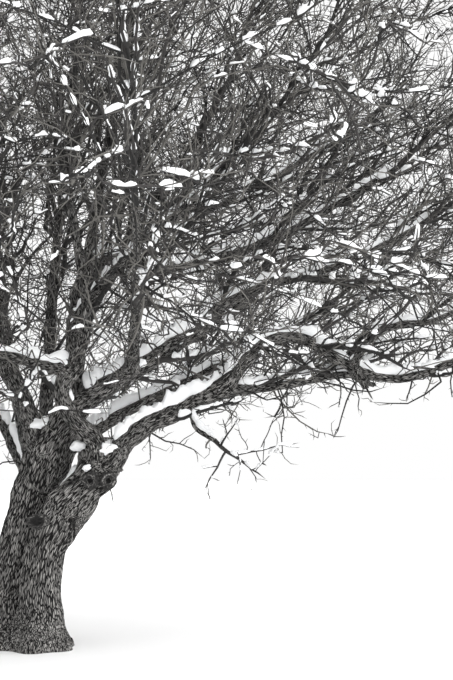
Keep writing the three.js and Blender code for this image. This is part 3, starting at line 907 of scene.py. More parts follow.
@functools.cache
def limb_curve(name):
    """A limb's line for its bark: smooth, with small crooks, knobs and a collar at its foot."""
    boughs, lines = barked_limbs()
    line = lines[name].copy()
    bough = next((b for b in boughs if b.name == name), None)
    if bough is None:
        line[0] = line[1] - (0, 0, STEM_SUNK, 0)
    else:
        line[0, :3] = line_at(lines[bough.on], bough.at)[0]
    length = np.linalg.norm(np.diff(line[:, :3], axis=0), axis=1).sum()
    curve = smoothed(line, rounded(length / RING_GAP) + 1)
    travel = np.linspace(0, length, len(curve))
    held = eased(np.clip(np.minimum(travel, length - travel) / CROOK_EASE, 0, 1))
    held = held * (STEM_CALM if bough is None else 1)
    number = own_number(name)
    for axis in range(3):
        bend = wavering(travel / CROOK_LENGTH, number + CROOK_ROW, axis)
        curve[:, axis] += bend * held * curve[:, 3] * CROOK
    curve[:, 3] *= 1 + KNOB * wavering(travel / KNOB_LENGTH, number + KNOB_ROW) * held
    if bough is not None:
        fading = np.exp(-travel / COLLAR_LENGTH)
        if bough.at == 1:
            carrier = lines[bough.on][-1, 3]
            curve[:, 3] += (min(carrier, bough.root * COLLAR_MOST) - bough.root) * fading
        else:
            curve[:, 3] *= 1 + COLLAR * fading
    return curve


def surface_gap(points, curve):
    """How far each point is from a limb's surface, negative inside it."""
    coarse = np.vstack([curve[:-1:SKIP], curve[-1:]])
    starts, ends = coarse[:-1], coarse[1:]
    stretch = ends[:, :3] - starts[:, :3]
    offset = points[..., None, :] - starts[:, :3]
    share = np.clip(np.sum(offset * stretch, -1) / np.sum(stretch**2, -1), 0, 1)
    apart = np.linalg.norm(offset - stretch * share[..., None], axis=-1)
    return np.min(apart - lerp(starts[:, 3], ends[:, 3], share), axis=-1)


def neighbours_of(name):
    """The limbs that a limb grows into, with how wide their joint is filled."""
    boughs, _ = barked_limbs()
    stems = [stem.name for stem in STEMS]
    if name in stems:
        below = [(other, STEM_FILLET) for other in stems if other != name]
    else:
        bough = next(b for b in boughs if b.name == name)
        below = [(bough.on, bough.root * FILLET)]
    return below + [(b.name, b.root * FILLET) for b in boughs if b.on == name]


# Meshes
def turns_round(sides):
    """Equal turns of a whole circle, in radians."""
    return np.arange(sides) * 2 * math.pi / sides


def frames_along(points):
    """Two directions square to each line at each ring, carried along it with no twist."""
    tangents = normalised(np.gradient(points, axis=1))
    across = [square_to(tangents[:, 0])]
    for k in range(1, points.shape[1]):
        onto = np.sum(across[-1] * tangents[:, k], axis=-1, keepdims=True)
        across.append(normalised(across[-1] - onto * tangents[:, k]))
    across = np.stack(across, axis=1)
    return across, np.cross(tangents, across)


def lofted(rings, tips, feet=None):
    """Closed forms through the rings, a point at the end and a point or a flat face at the foot."""
    forms, levels, sides = rings.shape[:3]
    ends = [tips] if feet is None else [tips, feet]
    points = np.concatenate([rings.reshape(forms, -1, 3), *(end[:, None] for end in ends)], axis=1)
    starts = np.arange(forms)[:, None, None] * points.shape[1]
    this, following = np.arange(sides), (np.arange(sides) + 1) % sides
    bands = np.arange(levels - 1)[:, None, None] * sides
    quads = np.stack([this, following, following + sides, this + sides], axis=-1) + bands
    top, apex = (levels - 1) * sides, levels * sides
    caps = np.stack([top + this, top + following, np.full(sides, apex)], axis=-1)
    faces = [(starts + quads.reshape(1, -1, 4)).reshape(-1, 4), (starts + caps).reshape(-1, 3)]
    if feet is None:
        faces.append((starts[:, 0] + this[::-1]).reshape(-1, sides))
    else:
        soles = np.stack([following, this, np.full(sides, apex + 1)], axis=-1)
        faces.append((starts + soles).reshape(-1, 3))
    return points.reshape(-1, 3), faces


def ellipses(centres, across, upward, sides, under=1):
    """An ellipse of points round each centre, its lower half flattened by a share."""
    turns = turns_round(sides)
    cos, sin = np.cos(turns)[:, None], np.sin(turns)[:, None]
    sin = np.where(sin < 0, sin * under, sin)
    return centres[..., None, :] + across[..., None, :] * cos + upward[..., None, :] * sin


def tubes(shoots, sides):
    """A closed tapering tube along each shoot."""
    across, upward = frames_along(shoots.points)
    girth = shoots.radii[..., None]
    rings = ellipses(shoots.points, across * girth, upward * girth, sides)
    return lofted(rings[:, :-1], shoots.points[:, -1])


def select_only(*pieces):
    """Selects the pieces and nothing else. The first is the active one."""
    bpy.ops.object.select_all(action="DESELECT")
    for piece in pieces:
        piece.select_set(True)
    bpy.context.view_layer.objects.active = pieces[0]


@contextlib.contextmanager
def editing(piece):
    """Edit mode on a piece, with all of its mesh selected."""
    select_only(piece)
    bpy.ops.object.mode_set(mode="EDIT")
    bpy.ops.mesh.select_all(action="SELECT")
    yield
    bpy.ops.object.mode_set(mode="OBJECT")


def joined(pieces, name):
    """Several meshes made one."""
    select_only(*pieces)
    if len(pieces) > 1:
        bpy.ops.object.join()
    whole = pieces[0]
    whole.name = whole.data.name = name
    return whole


def mesh_points(piece):
    points = np.empty(len(piece.data.vertices) * 3, np.float32)
    piece.data.vertices.foreach_get("co", points)
    return points.reshape(-1, 3).astype(float)


def place_points(piece, points):
    """Puts a mesh's points at places given in millimetres, and shades it smooth."""
    piece.location = (0, 0, 0)
    piece.data.vertices.foreach_set("co", (points * MM).astype(np.float32).ravel())
    piece.data.polygons.foreach_set("use_smooth", np.ones(len(piece.data.polygons), bool))
    piece.data.update()


def mesh_piece(name, points, faces):
    """A mesh object from points in millimetres and arrays of faces."""
    mesh = bpy.data.meshes.new(name)
    corners = np.concatenate([group.ravel() for group in faces])
    counts = np.concatenate([np.full(len(group), group.shape[1]) for group in faces])
    mesh.vertices.add(len(points))
    mesh.vertices.foreach_set("co", (points * MM).astype(np.float32).ravel())
    mesh.loops.add(len(corners))
    mesh.loops.foreach_set("vertex_index", corners.astype(np.int32))
    mesh.polygons.add(len(counts))
    mesh.polygons.foreach_set("loop_start", (np.cumsum(counts) - counts).astype(np.int32))
    mesh.polygons.foreach_set("use_smooth", np.ones(len(counts), bool))
    mesh.update(calc_edges=True)
    piece = bpy.data.objects.new(name, mesh)
    bpy.context.scene.collection.objects.link(piece)
    return piece


def deal_out(piece, faces, forms, materials, random):
    """Gives each form of a joined mesh one of the materials, so that the wood's tone varies."""
    choice = random.integers(0, materials, forms)
    tones = np.concatenate([np.repeat(choice, len(group) // forms) for group in faces])
    piece.data.polygons.foreach_set("material_index", tones.astype(np.int32))


def finish_piece(piece, materials, hides=()):
    """Gives a piece its materials and its place in the frame, where it can replace some solids."""
    for material in materials:
        piece.data.materials.append(material)
    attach(piece, "root")
    if hides:
        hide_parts(*hides)
    return piece


# Materials
def sizes():
    return bpy.context.scene.winter_tree_sizes


def colours():
    return bpy.context.scene.winter_tree_colours


def linear(colour):
    """An sRGB hex colour as linear red, green, blue and alpha."""
    parts = [int(colour[k:k + 2], 16) / 255 for k in (1, 3, 5)]
    return (*(p / 12.92 if p <= 0.04045 else ((p + 0.055) / 1.055) ** 2.4 for p in parts), 1)


def add_node(tree, kind, inputs=None, **settings):
    """Adds a node. Each input is a value, or another node's output that it is linked to."""
    node = tree.nodes.new(kind)
    for name, value in settings.items():
        setattr(node, name, value)
    for socket, value in (inputs or {}).items():
        if isinstance(value, bpy.types.NodeSocket):
            tree.links.new(value, node.inputs[socket])
        else:
            node.inputs[socket].default_value = value
    return node


def new_material(name):
    """An empty material, its node tree, and its surface shader."""
    material = bpy.data.materials.new(name)
    material.use_nodes = True
    tree = material.node_tree
    tree.nodes.clear()
    shader = add_node(tree, "ShaderNodeBsdfPrincipled")
    add_node(tree, "ShaderNodeOutputMaterial", {"Surface": shader.outputs["BSDF"]})
    return material, tree, shader


def colour_bark(ramp, middle):
    """Gives a ramp the colours of bark: dark furrows, the bark at a share between, pale crests."""
    # The furrow colour also serves as painted shade, beside deep furrows and in a scar's sunken middle
    ramp.color_ramp.elements[0].color = (*colours().furrow, 1)
    ramp.color_ramp.elements[1].color = (*colours().crest, 1)
    ramp.color_ramp.elements.new(middle).color = (*colours().bark, 1)


@functools.cache
def furrowed_bark():
    """Old fruit-tree bark, dry and matt: grey corky ridges, lighter on their crests, over dark
    furrows, which give the limbs their long pale and dark streaks. Painted shade darkens the
    ridges beside the mesh's deep furrows."""
    material, tree, shader = new_material("furrowed_bark")
    grain = add_node(tree, "ShaderNodeAttribute", attribute_name="grain").outputs["Vector"]
    ridge = add_node(tree, "ShaderNodeAttribute", attribute_name="ridge").outputs["Fac"]
    # The ridges are 8 to 11 mm wide, by the limb's girth, and nine times as long. They sway over
    # twice their width.
    drawn_out = add_node(tree, "ShaderNodeMapping", {"Vector": grain,
                                                      "Scale": (1, 1, 1 / RIDGE_LENGTH)})
    sway = add_node(tree, "ShaderNodeTexNoise", {"Vector": drawn_out.outputs["Vector"], "Scale": 0.5,
                                                  "Detail": 1})
    off = add_node(tree, "ShaderNodeVectorMath", {0: sway.outputs["Color"], 1: (1.4, 1.4, 0),
                                                   2: drawn_out.outputs["Vector"]},
                   operation="MULTIPLY_ADD")
    cells = add_node(tree, "ShaderNodeTexVoronoi", {"Vector": off.outputs["Vector"], "Scale": 1},
                     feature="DISTANCE_TO_EDGE")
    crest = add_node(tree, "ShaderNodeMapRange", {"Value": cells.outputs["Distance"], "From Min": 0.03,
                                                   "From Max": 0.17})
    # Cracks across the cork, two or three to a ridge, some 3 mm apart
    fibre = add_node(tree, "ShaderNodeTexNoise", {"Vector": grain, "Scale": 2.5, "Detail": 3,
                                                   "Roughness": 0.7})
    # Paler and darker stretches, some eleven ridges across
    stretch = add_node(tree, "ShaderNodeTexNoise", {"Vector": grain, "Scale": 0.09, "Detail": 2})
    # Painted shade: the colour darkens beside the mesh's deep furrows
    lift = add_node(tree, "ShaderNodeMath", {0: ridge, 1: 0.45, 2: 0.55}, operation="MULTIPLY_ADD")
    body = add_node(tree, "ShaderNodeMath", {0: crest.outputs["Result"], 1: lift.outputs[0]},
                    operation="MULTIPLY")
    height = add_node(tree, "ShaderNodeMath", {0: fibre.outputs["Fac"], 1: 0.3, 2: body.outputs[0]},
                      operation="MULTIPLY_ADD")
    tone = add_node(tree, "ShaderNodeMath", {0: stretch.outputs["Fac"], 1: 0.6, 2: -0.54},
                    operation="MULTIPLY_ADD")
    shade = add_node(tree, "ShaderNodeMath", {0: height.outputs[0], 1: tone.outputs[0]},
                     operation="ADD", use_clamp=True)
    ramp = add_node(tree, "ShaderNodeValToRGB", {"Fac": shade.outputs[0]})
    colour_bark(ramp, 0.42)
    bump = add_node(tree, "ShaderNodeBump", {"Height": height.outputs[0], "Strength": 1,
                                              "Distance": 9 * MM})
    shader.inputs["Roughness"].default_value = 0.93
    shader.inputs["Specular IOR Level"].default_value = 0.25
    tree.links.new(ramp.outputs["Color"], shader.inputs["Base Color"])
    tree.links.new(bump.outputs["Normal"], shader.inputs["Normal"])
    return material


@functools.cache
def healed_bark():
    """The skin of a healed cut: smooth pale lips round a dark middle, finely cracked. The dark of the
    sunken middle is painted shade.
    """
    material, tree, shader = new_material("healed_bark")
    ridge = add_node(tree, "ShaderNodeAttribute", attribute_name="ridge").outputs["Fac"]
    place = add_node(tree, "ShaderNodeTexCoord").outputs["Object"]
    # Cracks about 18 mm apart
    cracks = add_node(tree, "ShaderNodeTexNoise", {"Vector": place, "Scale": 55, "Detail": 3,
                                                    "Roughness": 0.7})
    spread = add_node(tree, "ShaderNodeMapRange", {"Value": cracks.outputs["Fac"], "From Min": 0.35,
                                                    "From Max": 0.8})
    shade = add_node(tree, "ShaderNodeMath", {0: spread.outputs["Result"], 1: ridge},
                     operation="MULTIPLY", use_clamp=True)
    ramp = add_node(tree, "ShaderNodeValToRGB", {"Fac": shade.outputs[0]})
    colour_bark(ramp, 0.3)
    bump = add_node(tree, "ShaderNodeBump", {"Height": cracks.outputs["Fac"], "Strength": 0.8,
                                              "Distance": 4 * MM})
    shader.inputs["Roughness"].default_value = 0.93
    tree.links.new(ramp.outputs["Color"], shader.inputs["Base Color"])
    tree.links.new(bump.outputs["Normal"], shader.inputs["Normal"])
    return material


def young_wood(name, colour):
    """Smooth skin of shoots a few years old, grey with a slight dull sheen."""
    material, _, shader = new_material(name)
    shader.inputs["Base Color"].default_value = (*colour, 1)
    shader.inputs["Roughness"].default_value = 0.75
    return material


@functools.cache
def wood_tones():
    """Darker, middling and paler skins for the branches and twigs, dealt out among them at random. The
    darker skin is kept off the twigs and spurs and the paler off the branches, so that the wood is darker
    inside the crown and paler at its edge: painted shade and painted light.
    """
    tones = {"dark_skin": colours().dark_skin, "grey_skin": colours().grey_skin,
             "pale_skin": colours().pale_skin}
    return [young_wood(name, colour) for name, colour in tones.items()]


@functools.cache
def settled_snow():
    """Old dry snow, matt white and finely crumbled, with shade between its grains."""
    material, tree, shader = new_material("settled_snow")
    place = add_node(tree, "ShaderNodeTexCoord").outputs["Object"]
    # Clumps of grains about 8 mm across, coarser than real so that they show
    grains = add_node(tree, "ShaderNodeTexNoise", {"Vector": place, "Scale": 120, "Detail": 3})
    bump = add_node(tree, "ShaderNodeBump", {"Height": grains.outputs["Fac"], "Strength": 0.5,
                                              "Distance": 4 * MM})
    shader.inputs["Base Color"].default_value = (*colours().snow, 1)
    shader.inputs["Roughness"].default_value = 0.9
    tree.links.new(bump.outputs["Normal"], shader.inputs["Normal"])
    return material


@functools.cache
def thin_snow():
    """The same snow on twigs, too small for its grains to show."""
    material, _, shader = new_material("thin_snow")
    shader.inputs["Base Color"].default_value = (*colours().snow, 1)
    shader.inputs["Roughness"].default_value = 0.9
    return material


# Trunk and boughs
def tube_along(curve, sides):
    """An open tube along a limb's line, a circle carried along a path, as a mesh object."""
    bpy.ops.curve.primitive_nurbs_circle_add()
    circle = bpy.context.object
    turns = turns_round(sides)
    ring = np.column_stack([np.cos(turns), np.sin(turns), np.zeros(sides), np.ones(sides)])
    draw_line(circle.data, ring, np.ones(sides)).use_cyclic_u = True
    bpy.ops.curve.primitive_nurbs_path_add()
    tube = bpy.context.object
    places = np.column_stack([curve[:, :3] * MM, np.ones(len(curve))])
    draw_line(tube.data, places, curve[:, 3] * MM)
    tube.data.bevel_mode = "OBJECT"
    tube.data.bevel_object = circle
    tube.data.twist_mode = "MINIMUM"
    select_only(tube)
    bpy.ops.object.convert(target="MESH")
    bpy.data.objects.remove(circle)
    return tube


def draw_line(path, places, radii):
    """Gives a curve one line of straight stretches through the places."""
    path.splines.clear()
    spline = path.splines.new("POLY")
    spline.points.add(len(places) - 1)
    spline.points.foreach_set("co", places.astype(np.float32).ravel())
    spline.points.foreach_set("radius", radii.astype(np.float32))
    return spline


def close_ends(tube):
    """Fills a tube's open ends, with its faces turned outwards."""
    with editing(tube):
        bpy.ops.mesh.fill_holes(sides=0)
        bpy.ops.mesh.select_all(action="SELECT")
        bpy.ops.mesh.normals_make_consistent(inside=False)


def with_bark(tube, curve, sides, name):
    """Shapes a tube: flutes, joints filled where limbs meet, and the furrows of its bark."""
    surface = mesh_points(tube).reshape(len(curve), sides, 3) / MM
    centres = curve[:, None, :3]
    outward = normalised(surface - centres)
    radius = curve[:, 3]
    travel = np.concatenate([[0], np.cumsum(np.linalg.norm(np.diff(curve[:, :3], axis=0), axis=1))])
    turns = turns_round(sides)
    circle = np.stack([np.cos(turns), np.sin(turns)], axis=-1)
    girth = radius[:, None, None] * circle
    number = own_number(name)
    reach = np.concatenate([girth, np.broadcast_to(travel[:, None, None], (*girth.shape[:2], 1))], -1)
    width = sizes().furrow_width + sizes().furrow_growth * float(np.median(radius))
    depth = np.minimum(sizes().deepest_furrow, SHALLOW + FURROW_SHARE * radius)[:, None]
    ridge = furrows((reach + number) / BROAD, width)
    round_limb = np.broadcast_to(circle * FLUTES, girth.shape)
    flutes = noise(np.concatenate([round_limb, reach[..., 2:] / FLUTE_LENGTH], -1) + number)
    height = radius[:, None] * FLUTE_DEPTH * flutes + (ridge - 1) * depth
    for other, fillet in neighbours_of(name):
        gap = surface_gap(surface, limb_curve(other))
        near = np.clip(1 - np.abs(gap) / fillet, 0, 1)
        height += near**2 * fillet * FILLET_HEIGHT
    if name in {stem.name for stem in STEMS}:
        rise = np.maximum(0, surface[..., 2])
        lobes = np.cos(turns * BUTTRESSES + number) * BUTTRESS_DEPTH
        height += radius[:, None] * lobes * np.exp(-rise / BUTTRESS_HEIGHT)
    place_points(tube, surface + outward * height[..., None])
    mark_bark(tube, reach / width + number * GRAIN_SHIFT, ridge)


def mark_bark(piece, grain, ridge):
    """Tells the bark's materials where each point is along the grain, and how high on a ridge."""
    for name, kind, field, values in (("grain", "FLOAT_VECTOR", "vector", grain),
                                      ("ridge", "FLOAT", "value", ridge)):
        layer = piece.data.attributes.new(name, kind, "POINT")
        layer.data.foreach_set(field, np.asarray(values, np.float32).ravel())


def furrows(reach, width):
    """1 on the ridges of the bark, down to 0 in the furrows that run along between them."""
    place = reach / (width, width, width * RIDGE_LENGTH)
    sway = np.stack([noise(place * SWAY_BENDS + row) for row in SWAY_ROWS], axis=-1)
    place[..., :2] += sway * FURROW_SWAY
    return np.clip(cell_edges(place) / FURROW_EDGE, 0, 1) ** FURROW_ROUND


def make_bark(name, sides):
    curve = limb_curve(name)
    tube = tube_along(curve, sides)
    with_bark(tube, curve, sides, name)
    close_ends(tube)
    return tube


def cut_at_ground(stem):
    """Cuts a stem off level with the ground and closes the cut."""
    with editing(stem):
        bpy.ops.mesh.bisect(plane_co=(0, 0, 0), plane_no=(0, 0, 1), clear_inner=True, use_fill=True)
    return stem


def knuckle_place():
    """The middle of the swollen end of the right stem, and the way that the stem runs there."""
    at, _, direction = line_at(limbs()[1]["right"], 1)
    return at, direction


def make_knuckle():
    """The swollen end of the right stem: a ball drawn out of round, with lumps and furrows."""
    at, direction = knuckle_place()
    bpy.ops.mesh.primitive_ico_sphere_add(subdivisions=KNUCKLE_FINENESS, radius=1)
    knuckle = bpy.context.object
    ball = mesh_points(knuckle)
    across = square_to(direction)
    local = ball @ np.array([across, np.cross(direction, across), direction]).T
    width = sizes().furrow_width + sizes().furrow_growth * KNUCKLE_RADIUS
    reach = local * KNUCKLE_RADIUS
    ridge = furrows(reach / BROAD, width)
    lumps = noise(ball * KNUCKLE_LUMPS + KNUCKLE_LUMP_ROW) * KNUCKLE_LUMP_DEPTH
    radius = KNUCKLE_RADIUS * (1 + lumps) + (ridge - 1) * sizes().deepest_furrow
    place_points(knuckle, at + ball * radius[:, None])
    mark_bark(knuckle, reach / width, ridge)
    return knuckle


def make_scar(at, facing, radius, steps, stretch=(1, 1, 1)):
    """A healed cut: a swollen lip of bark round a sunken middle darkened with painted shade, drawn out
    step by step.
    """
    bpy.ops.mesh.primitive_circle_add(vertices=SCAR_SIDES, radius=steps[0].width)
    scar = bpy.context.object
    with editing(scar):
        rise = 0
        for step, following in zip(steps, steps[1:]):
            climb = following.rise - step.rise
            bpy.ops.mesh.extrude_edges_move(TRANSFORM_OT_translate={"value": (0, 0, climb)})
            rise += climb
            scale = following.width / step.width
            bpy.ops.transform.resize(value=(scale, scale, 1), center_override=(0, 0, rise))
        bpy.ops.mesh.edge_face_add()
        bpy.ops.mesh.select_all(action="SELECT")
        bpy.ops.mesh.normals_make_consistent(inside=False)
    shape = mesh_points(scar)
    out = np.hypot(shape[:, 0], shape[:, 1])
    inwards = steps[::-1]
    # Paler on the lips and darkest in the sunken middle, where the dark is painted shade
    crest = np.interp(out, [step.width for step in inwards], [step.ridge for step in inwards])
    shape += noise(shape * SCAR_LUMPS + at / radius)[:, None] * SCAR_WARP
    shape *= stretch
    facing = normalised(np.array(facing, float))
    across = square_to(facing)
    axes = np.array([across, np.cross(facing, across), facing])
    place_points(scar, at + shape @ axes * radius)
    mark_bark(scar, shape * radius / SCAR_GRAIN, crest)
    scar.data.materials.append(healed_bark())
    return scar


def make_snag(torn, seed):
    """A broken stub: a short crooked limb with a torn end."""
    random = np.random.default_rng(seed)
    share = np.linspace(0, 1, SNAG_RINGS)[:, None]
    middles = np.array(torn.at) + np.array(torn.aim) * torn.length * share
    middles += random.normal(0, SNAG_CROOK * torn.radius, middles.shape) * share
    girth = torn.radius * (1 + random.uniform(*SNAG_GIRTH, SNAG_RINGS)) * lerp(*SNAG_TAPER, share[:, 0])
    points, faces = tubes(Shoots(middles[None], girth[None], None), SNAG_SIDES)
    ragged = random.uniform(-1, 1, len(points)) * np.linspace(0, 1, len(points)) ** SNAG_TORN_FROM
    along_stub = normalised(np.array(torn.aim, float)) * torn.radius * SNAG_TORN
    snag = mesh_piece("snag", points + along_stub * ragged[:, None], faces)
    grain = (points - torn.at) / SCAR_GRAIN
    mark_bark(snag, grain, 0.5 + 0.5 * noise(grain * SNAG_RIDGES))
    return snag


def torn_ends(limb):
    return [make_snag(torn, seed) for seed, torn in enumerate(TORN_BARK) if torn.limb == limb]


def make_trunk():
    """The four stems, flared at the foot and cut level with the ground, with the right stem's
    swollen end, its two pruned ends, the hollow below them and the torn bark beside them."""
    parts = [cut_at_ground(make_bark(stem.name, STEM_SIDES)) for stem in STEMS]
    parts += [make_bark(STUMP.name, STUMP_SIDES), make_knuckle(), *torn_ends("trunk")]
    for part in parts:
        part.data.materials.append(furrowed_bark())
    at, direction = knuckle_place()
    azimuth = math.degrees(math.atan2(direction[1], direction[0]))
    for side in (-1, 1):
        facing = heading(azimuth - 90 + side * PRUNED_TURN, 0)
        middle = at + (side * PRUNED_APART / 2 + PRUNED_ASIDE, 0, PRUNED_BELOW)
        parts.append(make_scar(middle + facing * PRUNED_OUT, facing, PRUNED_RADIUS, PRUNED_STEPS))
    parts.append(make_scar(np.array(HOLLOW_AT, float), HOLLOW_FACING, HOLLOW_RADIUS, HOLLOW_STEPS,
                           HOLLOW_STRETCH))
    return joined(parts, "trunk_bark")


def make_boughs():
    for bough in limbs()[0]:
        girth = 2 * math.pi * float(np.median(limb_curve(bough.name)[:, 3]))
        sides = 2 * rounded(np.clip(girth / BOUGH_FACE, LEAST_SIDES, MOST_SIDES) / 2)
        piece = joined([make_bark(bough.name, sides), *torn_ends(bough.name)], f"{bough.name}_bark")
        finish_piece(piece, [furrowed_bark()], [bough.name])


# Crown
def mass_node(bough_name):
    return bough_name.replace("_bough", "_twigs")


@functools.cache
def bough_shoots(rings):
    names = [bough.name for bough in limbs()[0]]
    stems = [stem_index(name) for name in names]
    return as_shoots([limb_curve(name) for name in names], stems, rings)


def stem_index(name):
    return [stem.name for stem in STEMS].index(stem_under(name))


@functools.cache
def crown():
    """Each kind of shoot on the whole tree."""
    random = np.random.default_rng(TWIG_SEED)
    leaders, coarse = [], []
    for name, mass in masses().items():
        leaders.append((mass[0], stem_index(name)))
        coarse += [(line, stem_index(name)) for line in mass[1:]]
    leaders = crooked(as_shoots(*zip(*leaders), RINGS), random)
    bearing = merged(leaders, crooked(as_shoots(*zip(*coarse), RINGS), random))
    grown = [grown_on(parents, LATERALS, random) for parents in (bough_shoots(RINGS), leaders)]
    branches = merged(bearing, *grown)
    for _ in range(OPEN_ROUNDS):
        wood = merged(bough_shoots(RINGS), branches)
        branches = merged(branches, reaching_into(wood, LATERALS, OPEN_GAPS, OPEN_TRIES, random))
    bearing = merged(bough_shoots(RINGS), branches)
    branchlets = grown_on(bearing, BRANCHLETS, random)
    for _ in range(FINE_ROUNDS):
        fine = reaching_into(branchlets, BRANCHLETS, FINE_GAPS, FINE_TRIES, random)
        branchlets = merged(branchlets, fine)
    low = chosen(bearing, np.mean(bearing.points[..., 2], axis=1) < HANGING_BELOW)
    hanging = grown_on(low, HANGING, random, drooping, low=True)
    hung = grown_on(hanging, HUNG_TWIGS, random, low=True)
    twigs = merged(grown_on(branchlets, TWIGS, random), hung)
    knobs = [grown_on(parents, KNOBS, random, low=True) for parents in (hanging, hung)]
    return {
        "branches": branches,
        "branchlets": merged(branchlets, hanging),
        "twigs": twigs,
        "spurs": merged(grown_on(twigs, SPURS, random), *knobs),
    }


def drooping(share):
    """How a hanging twig bends: down at first, then up towards its tip."""
    return lerp(DROOP, UPTURN, share)


def shoots_on(index, kind):
    """One kind of shoot on one stem and its boughs."""
    shoots = crown()[kind]
    return chosen(shoots, shoots.stem == index)


def make_shoots(kind, sides, materials):
    """Joins one kind of shoot into a few pieces for each stem."""
    random = np.random.default_rng(TONE_SEED)
    for index, stem in enumerate(STEMS):
        shoots = shoots_on(index, kind)
        per_shoot = 2 * sides * (shoots.radii.shape[1] - 2) + 2 * sides - 2
        parts = math.ceil(len(shoots.radii) * per_shoot / MOST_TRIANGLES)
        hides = [mass_node(name) for name in masses() if stem_index(name) == index]
        for part in range(parts):
            share = chosen(shoots, slice(part, None, parts))
            points, faces = tubes(share, sides)
            piece = mesh_piece(f"{stem.name}_{kind}_{part + 1}", points, faces)
            deal_out(piece, faces, len(share.radii), len(materials), random)
            finish_piece(piece, materials, hides if kind == "branches" else ())
            hides = ()


# Snow
def snow_frames(direction):
    across = normalised(np.cross(UP, direction))
    return across, np.cross(direction, across)


def patches_on(shoots, rule, random):
    """Where snow lies along shoots that aren't too steep. For each ring of each patch: the place,
    the wood's radius, the directions across and up, how full the patch is there, and its depth."""
    length = lengths_of(shoots)
    counts = (length / rule.every + random.random(len(length))).astype(int)
    owner, rank = spread_over(counts)
    middle = (rank + random.uniform(*PATCH_MIDDLES, len(owner))) / counts[owner]
    half = random.uniform(rule.shortest, rule.longest, len(owner)) / 2 / length[owner]
    at, _, direction = joints_on(shoots, owner, np.clip(middle, *PATCH_CENTRES))
    half = half * lerp(1, HIGH_PATCHES, height_share(at))
    lying = np.abs(direction[:, 2]) < random.uniform(*STEEPNESS, len(owner)) * rule.steepest
    owner, middle, half = owner[lying], middle[lying], half[lying]
    stations = np.sin(np.linspace(-math.pi / 2, math.pi / 2, rule.rings))
    shares = np.clip(middle[:, None] + half[:, None] * stations, *PATCH_REACH)
    at, radius, direction = joints_on(shoots, np.repeat(owner, rule.rings), shares.ravel())
    across, upward = snow_frames(direction)
    full = np.tile(np.clip(1 - stations**2, 0, 1) ** SNOW_BLUNT, (len(owner), 1))
    uneven = random.uniform(*SNOW_UNEVEN, (len(owner), 1))
    radius = radius.reshape(full.shape)
    depth = np.minimum(rule.base + rule.share * radius, rule.most) * full * uneven
    at, across, upward = (vectors.reshape(*full.shape, 3) for vectors in (at, across, upward))
    return at, radius[..., None], across, upward, full[..., None], depth[..., None]


def thin_snow_on(shoots, rule, random):
    """Strips of snow with blunt ends on the tops of thin wood."""
    at, radius, across, upward, full, depth = patches_on(shoots, rule, random)
    depth = depth * random.uniform(*STRIP_UNEVEN, depth.shape)
    centres = at + upward * radius * STRIP_SUNK
    wide = radius * lerp(STRIP_END, STRIP_WIDTH, full) + depth * STRIP_BULGE
    high = radius * (1 - STRIP_SUNK) + depth
    rings = ellipses(centres, across * wide, upward * high, rule.sides, STRIP_UNDER)
    return lofted(rings[:, 1:-1], centres[:, -1], centres[:, 0])


def deep_snow_on(shoots, rule, random):
    """Snow heaped on the tops of boughs, its edges let into the bark, with bumps and hollows."""
    at, radius, across, upward, full, depth = patches_on(shoots, rule, random)
    place = np.linspace(-1, 1, rule.sides)
    wrap = np.radians(random.uniform(*SNOW_WRAP, (len(at), 1))) * lerp(SNOW_END, 1, full[..., 0])
    wrap = wrap * (1 + SNOW_RAGGED * noise(at / SNOW_LUMP))
    turn = (wrap[..., None] * place)[..., None]
    outward = across[..., None, :] * np.sin(turn) + upward[..., None, :] * np.cos(turn)
    lie = (SNOW_BED - SNOW_LET_IN * np.abs(place) ** SNOW_EDGE)[:, None]
    bed = at[..., None, :] + outward * radius[..., None] * lie
    crown_height = np.sqrt(1 - place**2)[:, None]
    lumps = 1 + SNOW_LUMPS * noise(bed / SNOW_LUMP) + SNOW_CRUMBS * noise(bed / SNOW_CRUMB)
    piled = lerp(upward, UP, SNOW_UPRIGHT)[..., None, :] * depth[..., None]
    rings = bed + piled * crown_height * lumps[..., None]
    ends = at + upward * radius * (SNOW_BED - SNOW_LET_IN)
    return lofted(rings[:, 1:-1, ::-1], ends[:, -1], ends[:, 0])


def fork_heap(place, reach, seed):
    """Snow caught in a fork: a low lumpy heap."""
    bpy.ops.mesh.primitive_ico_sphere_add(subdivisions=HEAP_FINENESS, radius=1)
    heap = bpy.context.object
    ball = mesh_points(heap)
    lumps = 1 + HEAP_LUMPS * noise(ball * HEAP_LUMP + seed * HEAPS_APART)
    lumps += HEAP_CRUMBS * noise(ball * HEAP_CRUMB + seed)
    place_points(heap, place + ball * lumps[:, None] * reach)
    return heap


def forks():
    """The hollow above each joint of two limbs that open upwards, and how wide it is."""
    boughs, lines = limbs()
    for bough in boughs:
        start, carrier_radius, carrier_way = line_at(lines[bough.on], bough.at)
        way = line_at(lines[bough.name], FORK_LOOK)[2]
        if bough.at == 1 or way @ carrier_way > FORK_STRAIGHT:
            continue
        between_them = normalised(way + carrier_way)
        half_angle = math.acos(np.clip(way @ carrier_way, -1, 1)) / 2
        width = (carrier_radius + bough.root) / 2
        out = width / math.sin(half_angle)
        if between_them[2] > FORK_OPENS:
            yield bough.name, start + between_them * out * FORK_DEPTH, width


